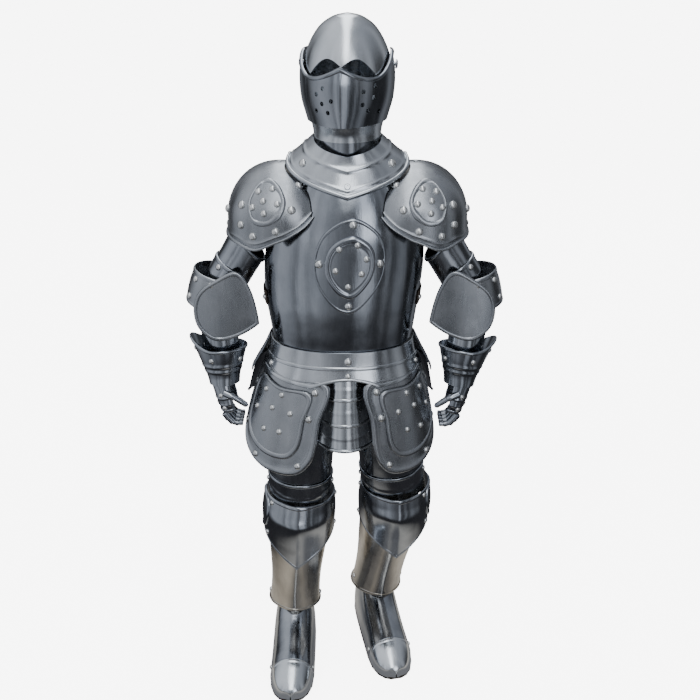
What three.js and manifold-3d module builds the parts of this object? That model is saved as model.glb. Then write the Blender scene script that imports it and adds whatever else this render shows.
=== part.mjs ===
// A three-foot suit of plate armour that stands on its own sabatons, hands on its hips.
// Millimetres, +Z up. The suit faces -Y, its own left side is at +X, and z = 0 is the floor under the soles.
import * as THREE from "three";
import { mergeVertices } from "three/addons/utils/BufferGeometryUtils.js";
import Module from "manifold-3d";

const wasm = await Module();
wasm.setup();

// Driving dimensions
const PLATE = 1.2; // polished sheet steel
const GAP = 0.4; // clearance where one plate lies over another
const AIR = 0.35; // clearance all round a plate that cuts its neighbour to fit
const RIM_RISE = 1.6; // how far a turned edge stands above its plate
const RIVET_R = 4.4; // radius of a large domed rivet
const SMALL_RIVET_R = 3.1;
const RIVET_SIDES = 6;
const SOLE_THICK = 3;

// Places of the limbs' joints, worked out from the photograph
const ARMS = {
  right: { shoulder: [93, 6, 690], elbow: [172, 6, 562], wrist: [166, -10, 443], lean: 12 },
  left: { shoulder: [86, 6, 690], elbow: [164, 6, 562], wrist: [149, -14, 443], lean: 14 },
};
const PAULDRON_CENTRE = new THREE.Vector3(82, 0, 680);
const VISOR_PIVOT = { angle: 97, z: 856 };
const HEAD_TURN = 7; // degrees that the helmet looks to the suit's right
const FRONT_TURN = 3.5; // degrees that the breast and skirt look to the suit's left
const LEGS = {
  right: { hip: [-60, 0, 470], knee: [-70, -8, 238], ankle: [-82, 0, 60], toeOut: 0 },
  left: { hip: [48, 0, 470], knee: [67, 8, 245], ankle: [43, 40, 60], toeOut: 11 },
};

// Tables of sections: each row is a height and the half sizes of the outline there.
// side is where the outline's middle lies.
const TORSO = [
  { z: 494, side: -7, wide: 90, front: 60, back: 50 },
  { z: 514, side: -7, wide: 91.6, front: 63, back: 52 },
  { z: 540, side: -7, wide: 95, front: 67, back: 53 },
  { z: 575, side: -7, wide: 99.5, front: 72, back: 57 },
  { z: 620, side: -4.5, wide: 101, front: 75, back: 62 },
  { z: 660, side: -1.5, wide: 96, front: 72, back: 66 },
  { z: 690, side: 0, wide: 86, front: 66, back: 63 },
  { z: 715, side: 0, wide: 74, front: 58, back: 56 },
  { z: 742, side: 0, wide: 56, front: 47, back: 46 },
];
const HELMET = [
  { down: 0, z: 912.5, wide: 0.5, front: 0.5, back: 0.5 },
  { down: 0.12, z: 908, wide: 18, front: 20, back: 22 },
  { down: 0.25, z: 896, wide: 34, front: 38, back: 40 },
  { down: 0.4, z: 873, wide: 47, front: 52, back: 54 },
  { down: 0.52, z: 850, wide: 52, front: 58, back: 60 },
  { down: 0.66, z: 822, wide: 51, front: 59, back: 59 },
  { down: 0.8, z: 797, wide: 44.5, front: 55, back: 51 },
  { down: 0.9, z: 778, wide: 40.5, front: 47, back: 44 },
  { down: 1, z: 748, wide: 40, front: 44, back: 43 },
];
const COLLAR = [
  { z: 706, wide: 112, front: 67.5, back: 66 },
  { z: 720, wide: 99, front: 61, back: 60 },
  { z: 740, wide: 80, front: 52.5, back: 52 },
  { z: 750, wide: 69, front: 49, back: 48.5 },
  { z: 761, wide: 55, front: 46.5, back: 46 },
  { z: 772, wide: 42.2, front: 45.4, back: 44.8 },
];
const SKIRT = [
  { z: 335, side: -13, wide: 136, front: 92, back: 82 },
  { z: 374, side: -12, wide: 131.5, front: 89, back: 78 },
  { z: 430, side: -10, wide: 119, front: 83, back: 71 },
  { z: 470, side: -8, wide: 107, front: 75, back: 63 },
  { z: 492, side: -7, wide: 98, front: 68, back: 57 },
  { z: 514, side: -7, wide: 92.4, front: 63.8, back: 52.8 },
];
const CULET = [
  { z: 394, side: -11, wide: 134, front: 80, back: 88 },
  { z: 440, side: -9.5, wide: 125, front: 76, back: 80 },
  { z: 470, side: -8, wide: 117, front: 72, back: 72 },
  { z: 495, side: -7, wide: 104, front: 68, back: 62 },
  { z: 514, side: -7, wide: 95.2, front: 66, back: 54.8 },
];
const GROIN = [
  { z: 372, side: -4, wide: 52, front: 82, back: 20 },
  { z: 410, side: -4, wide: 48, front: 77.5, back: 20 },
  { z: 446, side: -4, wide: 44, front: 72, back: 20 },
  { z: 484, side: -4, wide: 40, front: 63.5, back: 20 },
];
const UPPER_ARM = [
  { z: 0, wide: 26, front: 26, back: 26 },
  { z: 60, wide: 25.5, front: 26, back: 26 },
  { z: 100, wide: 27, front: 28, back: 28 },
];
const FOREARM = [
  { z: 10, wide: 19.5, front: 18.5, back: 18.5 },
  { z: 50, wide: 22, front: 20.5, back: 20.5 },
  { z: 130, wide: 26, front: 24, back: 24 },
];
const CUFF = [
  { z: 0, wide: 18.5, front: 19.5, back: 19.5 },
  { z: 14, wide: 20.8, front: 20.6, back: 20.6 },
  { z: 44, wide: 30, front: 28, back: 28 },
  { z: 72, wide: 38.5, front: 34.5, back: 34.5 },
];
const COUTER = [
  { z: -12, wide: 36, front: 33, back: 33 },
  { z: 0, wide: 37, front: 33.5, back: 33.5 },
  { z: 18, wide: 36.5, front: 34, back: 34 },
  { z: 36, wide: 34, front: 33.5, back: 33.5 },
];
const HAND = [
  { z: -38, wide: 13, front: 19, back: 19 },
  { z: -18, wide: 15, front: 21, back: 21 },
  { z: 6, wide: 16, front: 17, back: 17 },
];
const THIGH = [
  { z: 18, wide: 42, front: 42, back: 38 },
  { z: 90, wide: 44, front: 45, back: 42 },
  { z: 170, wide: 48, front: 49, back: 46 },
  { z: 240, wide: 50, front: 50, back: 48 },
];
const KNEE = [
  { z: -84, wide: 44, front: 46.5, back: 42 },
  { z: -40, wide: 49, front: 51.5, back: 45 },
  { z: 0, wide: 51, front: 56, back: 46 },
  { z: 18, wide: 50, front: 51, back: 46 },
  { z: 42, wide: 46.8, front: 44.8, back: 45 },
];
const SHIN = [
  { z: 0, wide: 39.5, front: 39, back: 36 },
  { z: 14, wide: 36.5, front: 36, back: 33 },
  { z: 60, wide: 36, front: 37, back: 36 },
  { z: 120, wide: 41, front: 43, back: 41 },
  { z: 150, wide: 43.5, front: 46, back: 42 },
  { z: 172, wide: 44, front: 47.5, back: 42 },
];
const SHOE = [
  { y: -147, wide: 7, high: 11 },
  { y: -143, wide: 16, high: 17 },
  { y: -134, wide: 24, high: 24 },
  { y: -118, wide: 30, high: 32 },
  { y: -98, wide: 32, high: 38 },
  { y: -66, wide: 32, high: 46 },
  { y: -38, wide: 32, high: 58 },
  { y: -8, wide: 31.5, high: 78 },
  { y: 16, wide: 30, high: 78 },
  { y: 34, wide: 24, high: 70 },
  { y: 41, wide: 10, high: 62 },
];

// Smooth reading of a column of a table at a place between its rows
function column(rows, key, name, at) {
  const last = rows.length - 1;
  let i = rows.findIndex((row) => at < row[key]) - 1;
  if (i < 0) i = at < rows[0][key] ? 0 : last - 1;
  const slope = (j) => {
    const a = rows[Math.max(0, j - 1)];
    const b = rows[Math.min(last, j + 1)];
    return (b[name] - a[name]) / (b[key] - a[key]);
  };
  const [p, q] = [rows[i], rows[i + 1]];
  const width = q[key] - p[key];
  const t = (at - p[key]) / width;
  if (t < 0) return p[name] + slope(i) * (at - p[key]);
  if (t > 1) return q[name] + slope(i + 1) * (at - q[key]);
  const t2 = t * t;
  const t3 = t2 * t;
  return (
    (2 * t3 - 3 * t2 + 1) * p[name] +
    (t3 - 2 * t2 + t) * width * slope(i) +
    (3 * t2 - 2 * t3) * q[name] +
    (t3 - t2) * width * slope(i + 1)
  );
}

const mix = THREE.MathUtils.lerp;
const bump = (x, middle, half) => Math.max(0, 1 - Math.abs((x - middle) / half));
const power = (x, e) => Math.sign(x) * Math.abs(x) ** e;

// A body of sections. Angle 0 is the front (-Y) and 90 is +X, in degrees.
// The second number follows the table's key.
// ridge is a keel down the front: how far it stands out, and how wide it is in degrees.
function body(rows, { key = "z", square = 1, ridge = 0, ridgeHalf = 40 } = {}) {
  const read = (name, at) => (name in rows[0] ? column(rows, key, name, at) : 0);
  function at(angle, along) {
    const turn = THREE.MathUtils.degToRad(angle);
    const depth = Math.cos(turn) > 0 ? read("front", along) : read("back", along);
    const keel = ridge * bump(((angle + 540) % 360) - 180, 0, ridgeHalf);
    return new THREE.Vector3(
      read("side", along) + read("wide", along) * power(Math.sin(turn), square),
      -(depth * power(Math.cos(turn), square) + keel),
      key === "z" ? along : read("z", along),
    );
  }
  const step = key === "z" ? -0.5 : 0.004;
  function outward(angle, along) {
    const across = at(angle + 1, along).sub(at(angle - 1, along));
    const down = at(angle, along + step).sub(at(angle, along - step));
    return down.cross(across).normalize();
  }
  const lift = (angle, along, height) =>
    at(angle, along).addScaledVector(outward(angle, along), height);
  return { at, outward, lift };
}

const torso = body(TORSO, { square: 0.9 });
const head = body(HELMET, { key: "down" });
const visorForm = body(HELMET, { key: "down", ridge: 8, ridgeHalf: 48 });
const collar = body(COLLAR);
const skirt = body(SKIRT, { square: 0.9 });
const culet = body(CULET, { square: 0.9 });
const groin = body(GROIN);
const upperArm = body(UPPER_ARM);
const forearm = body(FOREARM);
const cuffForm = body(CUFF);
const couterForm = body(COUTER);
const handForm = body(HAND);
const thigh = body(THIGH);
const knee = body(KNEE, { ridge: 3, ridgeHalf: 30 });
const shin = body(SHIN, { ridge: 3, ridgeHalf: 35 });

// The helmet's "down" that lies at a height, by halving
function helmetDown(z) {
  let [low, high] = [0, 1];
  for (let i = 0; i < 20; i++) {
    const middle = (low + high) / 2;
    if (column(HELMET, "down", "z", middle) > z) low = middle;
    else high = middle;
  }
  return low;
}

// Solids to and from three.js geometry
function toSolid(geometry) {
  const bare = new THREE.BufferGeometry().setAttribute("position", geometry.getAttribute("position"));
  if (geometry.index) bare.setIndex(geometry.index);
  const merged = mergeVertices(bare, 1e-4);
  const solid = new wasm.Manifold(
    new wasm.Mesh({
      numProp: 3,
      vertProperties: merged.attributes.position.array,
      triVerts: new Uint32Array(merged.index.array),
    }),
  );
  return solid;
}

function toGeometry(solid) {
  const mesh = solid.getMesh();
  const places = new Float32Array(mesh.numVert * 3);
  for (let i = 0; i < mesh.numVert; i++)
    places.set(mesh.vertProperties.subarray(i * mesh.numProp, i * mesh.numProp + 3), i * 3);
  return new THREE.BufferGeometry()
    .setAttribute("position", new THREE.BufferAttribute(places, 3))
    .setIndex(new THREE.BufferAttribute(new Uint32Array(mesh.triVerts), 1));
}

// Points and triangles to a solid whose faces point out
function solidFrom(points, triangles) {
  const places = new Float32Array(points.flatMap((p) => [p.x, p.y, p.z]));
  let volume = 0;
  for (const [a, b, c] of triangles)
    volume += points[a].dot(new THREE.Vector3().crossVectors(points[b], points[c]));
  const faces = volume < 0 ? triangles.map(([a, b, c]) => [a, c, b]) : triangles;
  return toSolid(
    new THREE.BufferGeometry()
      .setAttribute("position", new THREE.BufferAttribute(places, 3))
      .setIndex(faces.flat()),
  );
}

// A closed wall: point(u, v, face) gives its outer face at face 0 and its inner face at 1.
// u and v run from 0 to 1.
// round joins the last column to the first, and pole draws the first row together to one point.
function wall({ across, down, round = false, pole = false, point }) {
  const points = [];
  const triangles = [];
  const columns = round ? across : across + 1;
  const index = [[], []];
  for (const face of [0, 1])
    for (let j = 0; j <= down; j++) {
      const row = [];
      for (let i = 0; i < columns; i++) {
        if (pole && j === 0 && i > 0) row.push(row[0]);
        else {
          row.push(points.length);
          points.push(point(i / across, j / down, face));
        }
      }
      index[face].push(row);
    }
  const quad = (a, b, c, d, turned) => {
    if (turned) triangles.push([a, b, d], [b, c, d]);
    else triangles.push([a, b, c], [a, c, d]);
  };
  const [outer, inner] = index;
  const next = (i) => (round ? (i + 1) % columns : i + 1);
  for (let i = 0; i < across; i++) {
    const k = next(i);
    for (let j = 0; j < down; j++) {
      if (pole && j === 0) {
        triangles.push([outer[0][0], outer[1][i], outer[1][k]]);
        triangles.push([inner[0][0], inner[1][k], inner[1][i]]);
        continue;
      }
      // the diagonals of the two halves mirror each other
      const second = i >= across / 2;
      quad(outer[j][i], outer[j + 1][i], outer[j + 1][k], outer[j][k], second);
      quad(inner[j][i], inner[j][k], inner[j + 1][k], inner[j + 1][i], !second);
    }
    if (!pole) quad(outer[0][i], outer[0][k], inner[0][k], inner[0][i]);
    quad(outer[down][k], outer[down][i], inner[down][i], inner[down][k]);
  }
  if (!round)
    for (let j = 0; j < down; j++) {
      quad(outer[j][0], inner[j][0], inner[j + 1][0], outer[j + 1][0]);
      quad(outer[j][across], outer[j + 1][across], inner[j + 1][across], inner[j][across]);
    }
  return solidFrom(points, triangles);
}

// A plate bounded by angles and heights. from, to, top and bottom are numbers or functions:
// from and to of the place down the plate (0 to 1), top and bottom of the angle.
// rise adds relief to the outer face, and base is the height of the inner face above the form.
function plate(form, spec) {
  const { from, to, top, bottom, across, down, rise = () => 0 } = spec;
  const { base = 0, thick = PLATE, grow = 0, round = false, pole = false } = spec;
  const value = (x, at) => (typeof x === "function" ? x(at) : x);
  const spread = spec.spread ?? ((v) => v);
  return wall({
    across,
    down,
    round,
    pole,
    point(u, v, face) {
      const s = spread(v);
      const angle = mix(value(from, s), value(to, s), u);
      const along = mix(value(top, angle), value(bottom, angle), s);
      const height = face ? base - grow : base + thick + grow + rise(u, s);
      return form.lift(angle, along, height);
    },
  });
}

// A full tube of plate, open at both ends
const tube = (form, spec) => plate(form, { from: 0, to: 360, round: true, ...spec });

// A closed smooth outline through a few corners, as [first, second] pairs
function outline(corners) {
  const curve = new THREE.CatmullRomCurve3(
    corners.map(([a, b]) => new THREE.Vector3(a, b, 0)),
    true,
    "centripetal",
  );
  return (share) => curve.getPoint(share % 1);
}

// A plate with any outline on a form: rings run from its middle to its edge, and rise adds relief by ring
function shield(form, { middle, corners, spokes, rings, base = 0, thick = PLATE, rise = () => 0, grow = 0 }) {
  const edge = outline(corners);
  return wall({
    across: spokes,
    down: rings.length - 1,
    round: true,
    pole: true,
    point(u, v, face) {
      const ring = rings[Math.round(v * (rings.length - 1))];
      const p = edge(u);
      const height = face ? base - grow : base + thick + grow + rise(ring);
      return form.lift(mix(middle[0], p.x, ring), mix(middle[1], p.y, ring), height);
    },
  });
}

// A form for a plate in front of the arm: first number is x, second is z, and bend curls its far parts back
function board(y, bend) {
  const at = (x, z) => new THREE.Vector3(x, y + bend * x * x, z);
  const outward = () => new THREE.Vector3(0, -1, 0);
  return { at, outward, lift: (x, z, height) => at(x, z).addScaledVector(outward(), height) };
}

// A low pointed rivet head standing on a form, with a shank that reaches depth below the height it stands at
function rivet(form, angle, along, height, { radius = RIVET_R, depth = 1.1 } = {}) {
  const foot = form.lift(angle, along, height);
  const out = form.outward(angle, along);
  const turn = new THREE.Quaternion().setFromUnitVectors(new THREE.Vector3(0, 0, 1), out);
  const rings = [
    { r: radius * 0.45, h: -depth },
    { r: radius * 0.45, h: -1.2 },
    { r: radius, h: -1.1 },
  ].slice(depth > 1.2 ? 0 : 2);
  const points = [new THREE.Vector3(0, 0, rings[0].h)];
  for (const { r, h } of rings)
    for (let i = 0; i < RIVET_SIDES; i++) {
      const a = (i / RIVET_SIDES) * 2 * Math.PI;
      points.push(new THREE.Vector3(r * Math.cos(a), r * Math.sin(a), h));
    }
  points.push(new THREE.Vector3(0, 0, radius * 0.65));
  const crown = points.length - 1;
  const triangles = [];
  for (let i = 0; i < RIVET_SIDES; i++) {
    const k = (i + 1) % RIVET_SIDES;
    triangles.push([0, 1 + k, 1 + i]);
    for (let j = 0; j < rings.length - 1; j++) {
      const [a, b] = [1 + j * RIVET_SIDES, 1 + (j + 1) * RIVET_SIDES];
      triangles.push([a + i, a + k, b + k], [a + i, b + k, b + i]);
    }
    const top = 1 + (rings.length - 1) * RIVET_SIDES;
    triangles.push([top + i, top + k, crown]);
  }
  return solidFrom(
    points.map((p) => p.applyQuaternion(turn).add(foot)),
    triangles,
  );
}

const withRivets = (solid, form, places, height, options) =>
  places.reduce((made, [angle, along]) => made.add(rivet(form, angle, along, height, options)), solid);

// The largest body of a solid, after it is cut clear of others
function clear(solid, ...cutters) {
  const cut = cutters.reduce((made, cutter) => made.subtract(cutter), solid);
  return cut.decompose().reduce((a, b) => (a.volume() > b.volume() ? a : b));
}

// A solid moved by a group's place
function placed(solid, matrix) {
  return toSolid(toGeometry(solid).applyMatrix4(matrix));
}

// A straight rod between two points, with the sides of a prism
function rod(a, b, radius, sides = 8) {
  const length = a.distanceTo(b);
  const geometry = new THREE.CylinderGeometry(radius, radius, length, sides).rotateX(Math.PI / 2);
  const turn = new THREE.Quaternion().setFromUnitVectors(
    new THREE.Vector3(0, 0, 1),
    b.clone().sub(a).normalize(),
  );
  geometry.applyQuaternion(turn).translate(...a.clone().add(b).multiplyScalar(0.5).toArray());
  return toSolid(geometry);
}

const block = (x, y, z, cx, cy, cz) => toSolid(new THREE.BoxGeometry(x, y, z).translate(cx, cy, cz));

// Materials
const steel = new THREE.MeshStandardMaterial({ color: 0x8b9096, roughness: 0.24, metalness: 1 });
const satinSteel = new THREE.MeshStandardMaterial({ color: 0x7c8286, roughness: 0.4, metalness: 1 });
const brightSteel = new THREE.MeshStandardMaterial({ color: 0xb9bfc4, roughness: 0.15, metalness: 1 });
const leather = new THREE.MeshStandardMaterial({ color: 0x1c1917, roughness: 0.6, metalness: 0 });

const suit = new THREE.Group();
const headGroup = new THREE.Group();
headGroup.rotation.z = THREE.MathUtils.degToRad(-HEAD_TURN);
suit.add(headGroup);

function add(name, solid, material, parent = suit) {
  const mesh = new THREE.Mesh(toGeometry(solid), material);
  mesh.name = name;
  parent.add(mesh);
}

// The same solid on the other side of the suit
function mirrored(solid) {
  const geometry = toGeometry(solid).scale(-1, 1, 1);
  const index = geometry.index.array;
  for (let i = 0; i < index.length; i += 3) [index[i + 1], index[i + 2]] = [index[i + 2], index[i + 1]];
  return toSolid(geometry);
}

const SIDES = ["left", "right"];
const onSide = (side, solid) => (side === "left" ? solid : mirrored(solid));
const addPair = (name, solid, material) =>
  SIDES.forEach((side) => add(`${name}_${side}`, onSide(side, solid), material));

// A group at one joint whose own +Z points to the next
function limb(from, to, twist = 0) {
  const frame = new THREE.Group();
  frame.position.copy(from);
  frame.quaternion.setFromUnitVectors(new THREE.Vector3(0, 0, 1), to.clone().sub(from).normalize());
  frame.rotateZ(THREE.MathUtils.degToRad(twist));
  frame.updateMatrix();
  return frame;
}

// Helmet: a skull cut away over the face, a bevor over the chin, and a neck band
function helmet() {
  const brow = (angle) => {
    const a = Math.abs(((angle + 540) % 360) - 180);
    if (a < 44) return 860 + 12 * Math.sin((Math.PI * a) / 44) - 8 * (a / 44);
    return mix(852, 772, THREE.MathUtils.smoothstep(a, 45, 60));
  };
  const skull = plate(head, {
    from: -180,
    to: 180,
    round: true,
    pole: true,
    top: 0,
    bottom: (angle) => helmetDown(brow(angle)),
    across: 24,
    down: 4,
    base: -PLATE,
    spread: (v) => v ** 0.85,
  });
  add("helmet_skull", skull, brightSteel, headGroup);
  const bevor = plate(head, {
    from: (v) => -mix(51, 57.5, v),
    to: (v) => mix(51, 57.5, v),
    top: helmetDown(806),
    bottom: helmetDown(774),
    across: 8,
    down: 2,
    base: -PLATE,
  });
  const neck = plate(head, {
    from: 0,
    to: 360,
    round: true,
    top: helmetDown(777),
    bottom: 1,
    across: 16,
    down: 1,
    base: -2 * PLATE - 2 * GAP,
    thick: PLATE,
  });
  add("helmet_bevor", bevor, brightSteel, headGroup);
  add("helmet_neck", neck, steel, headGroup);
}

// Visor: two cheeks that meet in a keel, sights along its top edge and round breaths
const BREATHS = [
  { angle: -20, z: 838 },
  { angle: -29.5, z: 831 },
  { angle: -22, z: 821.5 },
  { angle: -9.5, z: 825.5 },
  { angle: -32, z: 813 },
  { angle: -14.5, z: 812.5 },
  { angle: 41.5, z: 840 },
  { angle: 26.5, z: 835 },
  { angle: 40, z: 827.5 },
  { angle: 26, z: 821 },
  { angle: 33.5, z: 814 },
  { angle: 51.5, z: 811 },
];
const BREATH_R = 2.6;
const VISOR_BASE = 2.4;

function visor() {
  const topEdge = (angle) => {
    const a = Math.abs(angle);
    if (a < 40) return 861 - 12 * Math.sin((Math.PI / 2) * (a / 40));
    return mix(849, 872, THREE.MathUtils.smoothstep(a, 42, 92));
  };
  const sheet = plate(visorForm, {
    from: (v) => -108 + 22 * v,
    to: (v) => 108 - 22 * v,
    top: (angle) => helmetDown(topEdge(angle)),
    bottom: helmetDown(796),
    across: 18,
    down: 4,
    base: VISOR_BASE,
    spread: (v) => [0, 0.08, 0.2, 0.6, 1][Math.round(v * 4)],
    rise: (u, v) => (v < 0.1 ? RIM_RISE : 0),
  });
  const drill = (angle, z, radius, sides = 8) => {
    const down = helmetDown(z);
    return rod(visorForm.lift(angle, down, -12), visorForm.lift(angle, down, 14), radius, sides);
  };
  let made = sheet;
  for (const { angle, z } of BREATHS) made = made.subtract(drill(angle, z, BREATH_R, 5));
  const [a, z] = [VISOR_PIVOT.angle, VISOR_PIVOT.z];
  made = made.subtract(drill(a, z, 3.6)).subtract(drill(-a, z, 3.6));
  add("visor", made, steel, headGroup);
  // each pivot runs across the helmet's width, so that the visor turns about one line
  const pivot = visorForm.at(a, helmetDown(z));
  const wallX = head.lift(a, helmetDown(z), 0).x;
  const outX = visorForm.lift(a, helmetDown(z), VISOR_BASE + PLATE).x + 1;
  const on = (x) => new THREE.Vector3(x, pivot.y, pivot.z);
  const pin = rod(on(wallX - 0.2), on(outX + 2), 2.4).add(rod(on(outX), on(outX + 3), 5.5, 10));
  for (const side of SIDES) add(`visor_pivot_${side}`, onSide(side, pin), brightSteel, headGroup);
}

// Gorget: one collar plate that comes to a point in front, with a turned edge
const gorgetHem = (angle) => {
  const a = Math.abs(((angle + 540) % 360) - 180);
  if (a < 90) return 749 - 37 * (1 - a / 90) ** 1.15;
  return 749 - 25 * ((a - 90) / 90) ** 1.2;
};
const gorgetTop = (angle) => {
  const a = Math.abs(((angle + 540) % 360) - 180);
  return 772.9 - 15 * Math.max(0, 1 - a / 75) ** 1.1;
};
function gorget() {
  const spec = { from: 0, to: 360, round: true, top: gorgetTop, bottom: gorgetHem, across: 20, down: 3 };
  const sheet = plate(collar, {
    ...spec,
    base: 0.6,
    spread: (v) => [0, 0.42, 0.84, 1][Math.round(v * 3)],
    rise: (u, v) => (v > 0.9 ? RIM_RISE : 0),
  });
  const studs = [46, -46].map((a) => [a, mix(gorgetTop(a), gorgetHem(a), 0.55)]);
  // the deep rivets seat the gorget on the breast and back plates
  const seats = [[0, 726], [180, 732]];
  const studded = withRivets(sheet, collar, studs, 0.6 + PLATE, {});
  return clear(withRivets(studded, collar, seats, 0.6 + PLATE, { depth: 14 }), chestRoom(AIR));
}

// Breast and back plates, cut away round the arms
const CHEST_SEAM = [
  { z: 490, half: 87 },
  { z: 630, half: 87 },
  { z: 655, half: 74 },
  { z: 690, half: 54 },
  { z: 742, half: 50 },
];
const seam = (z) => column(CHEST_SEAM, "z", "half", z);
const CHEST_TOP = 738;
const CHEST_BOTTOM = 496;

// The upper chest as one thick band, grown outwards
const chestRoom = (grow) =>
  tube(torso, {
    top: CHEST_TOP,
    bottom: mix(CHEST_TOP, CHEST_BOTTOM, 0.5),
    across: 16,
    down: 3,
    base: -30,
    thick: 30 + grow,
  });

function chest(facing) {
  const z = (v) => mix(CHEST_TOP, CHEST_BOTTOM, v);
  return plate(torso, {
    from: (v) => facing - seam(z(v)),
    to: (v) => facing + seam(z(v)),
    top: CHEST_TOP,
    bottom: CHEST_BOTTOM,
    across: 12,
    down: 6,
    base: -PLATE,
  });
}

// Boss: an egg-shaped plate on the breast, with a smaller domed one on it
const BOSS_BASE = 0.8;
const BOSS = {
  middle: [FRONT_TURN, 632],
  corners: [[0, 690], [17, 674], [23, 640], [17, 602], [0, 571], [-17, 602], [-23, 640], [-17, 674]],
  studs: [[0, 683], [19, 636], [-19, 636], [0, 582]],
  innerStuds: [[-7, 655], [3, 660], [9, 643], [6.5, 625], [-1, 609], [-8, 629]],
};
const turned = (places) => places.map(([angle, z]) => [angle + FRONT_TURN, z]);
function boss() {
  const outer = shield(torso, {
    middle: BOSS.middle,
    corners: turned(BOSS.corners),
    spokes: 12,
    rings: [0, 0.36, 0.66, 1],
    base: BOSS_BASE,
  });
  const inner = shield(torso, {
    middle: BOSS.middle,
    corners: turned(BOSS.corners),
    spokes: 12,
    rings: [0, 0.36, 0.6, 0.66],
    base: BOSS_BASE + PLATE + GAP,
    rise: (ring) => (ring > 0.58 ? 0.9 : 1.2 - 2 * ring),
  });
  const level = BOSS_BASE + PLATE;
  add("boss_plate", withRivets(outer, torso, turned(BOSS.studs), level, {}), steel);
  const innerLevel = level + GAP + PLATE + 0.4;
  add("boss_dome", withRivets(inner, torso, turned(BOSS.innerStuds), innerLevel, { radius: 4 }), steel);
}

// Skirt: a waist belt, a lame arched over the groin, two tassets with panels, and the rear culet
const fauldHem = (angle) => {
  const a = Math.abs(angle - FRONT_TURN);
  return a < 22 ? 466 + 11 * Math.cos((Math.PI / 2) * (a / 22)) : mix(466, 477, (a - 22) / 70);
};
const TASSET = {
  middle: [48, 425],
  corners: [
    [13, 474], [46, 476], [86, 484], [92, 430], [84, 374],
    [52, 343], [28, 341], [18, 360], [14, 420],
  ],
  studs: [[19, 461], [21, 425], [25, 356], [60, 357], [84, 392], [86, 448]],
  panelStuds: [[44, 452], [62, 452], [34, 430], [50, 432], [68, 424], [40, 402], [54, 400]],
};
const GROIN_LAMES = [
  { top: 484, bottom: 446, half: 48, base: 0 },
  { top: 452, bottom: 410, half: 48, base: -1.8 },
  { top: 416, bottom: 374, half: 48, base: -3.6 },
];

function fauldLame(grow = 0) {
  return plate(skirt, {
    from: -90,
    to: 90,
    top: 497,
    bottom: (angle) => fauldHem(angle) - grow,
    across: 15,
    down: 2,
    base: -PLATE - GAP,
    thick: PLATE,
    grow,
  });
}

const tassetForm = (side) => {
  const out = side === "left" ? 1 : -1;
  const here = (places) => turned(places.map(([angle, z]) => [angle * out, z]));
  return { middle: here([TASSET.middle])[0], corners: here(TASSET.corners), spokes: 14, here };
};
const TASSET_BASE = -2 * PLATE - 2 * GAP;
const tassetShell = (side, grow = 0) =>
  shield(skirt, {
    ...tassetForm(side),
    rings: [0, 0.36, 0.72, 0.94, 1],
    base: TASSET_BASE,
    grow,
    rise: (ring) => (ring > 0.92 ? RIM_RISE : 0),
  });

function skirts() {
  const belt = plate(skirt, {
    from: -90,
    to: 90,
    top: 513,
    bottom: 490,
    across: 15,
    down: 2,
    base: 0.3,
  });
  add("fauld_belt", withRivets(belt, skirt, turned([[0, 502]]), PLATE + 0.3, {}), steel);

  const lameTop = plate(groin, { from: -50, to: 50, top: 484, bottom: 446, across: 8, down: 1, grow: AIR });
  const fauldRivets = turned([[0, 483.5], [70, 484], [-70, 484]]);
  let fauld = fauldLame();
  for (const [angle, z] of fauldRivets) {
    const depth = angle === FRONT_TURN ? 12 : 1.1;
    fauld = fauld.add(rivet(skirt, angle, z, -GAP, { depth, radius: SMALL_RIVET_R + 0.8 }));
  }
  add("fauld_lame", clear(fauld, lameTop), steel);

  GROIN_LAMES.forEach(({ top, bottom, half, base }, i) => {
    const last = i === GROIN_LAMES.length - 1;
    const lame = plate(groin, {
      from: -half,
      to: half,
      top,
      bottom,
      across: 8,
      down: 2,
      base,
      thick: PLATE,
      spread: (v) => [0, 0.86, 1][Math.round(v * 2)],
      rise: (u, v) => (last && v > 0.8 ? RIM_RISE : 0),
    });
    add(`groin_lame_${i + 1}`, lame, brightSteel);
  });

  const tassetTop = TASSET_BASE + PLATE;
  const panelTop = tassetTop + 3 * GAP + PLATE;
  const roof = fauldLame(AIR);
  for (const side of SIDES) {
    const { here, ...form } = tassetForm(side);
    const panel = shield(skirt, {
      ...form,
      rings: [0, 0.36, 0.66, 0.72],
      base: panelTop - PLATE,
      rise: (ring) => (ring > 0.65 ? 0.9 : 0),
    });
    const studded = withRivets(tassetShell(side), skirt, here(TASSET.studs), tassetTop, {});
    add(`tasset_${side}`, clear(studded, roof), satinSteel);
    const studdedPanel = withRivets(panel, skirt, here(TASSET.panelStuds), panelTop, { radius: 4 });
    add(`tasset_panel_${side}`, clear(studdedPanel, roof), satinSteel);
  }

  const culetSides = [120, 180, 240];
  const upper = plate(culet, { from: 84, to: 276, top: 513, bottom: 462, across: 16, down: 2 });
  const upperRivets = culetSides.map((a) => [a, 474]);
  add("culet_upper", withRivets(upper, culet, upperRivets, PLATE, { radius: SMALL_RIVET_R + 0.6 }), steel);
  const lower = plate(culet, {
    from: 96,
    to: 264,
    top: 470,
    bottom: (angle) => mix(396, 420, Math.abs(angle - 180) / 84),
    across: 14,
    down: 3,
    base: -PLATE - 3 * GAP,
    spread: (v) => [0, 0.5, 0.92, 1][Math.round(v * 3)],
    rise: (u, v) => (v > 0.95 ? RIM_RISE : 0),
  });
  add("culet_lower", lower, steel);
}

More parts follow.
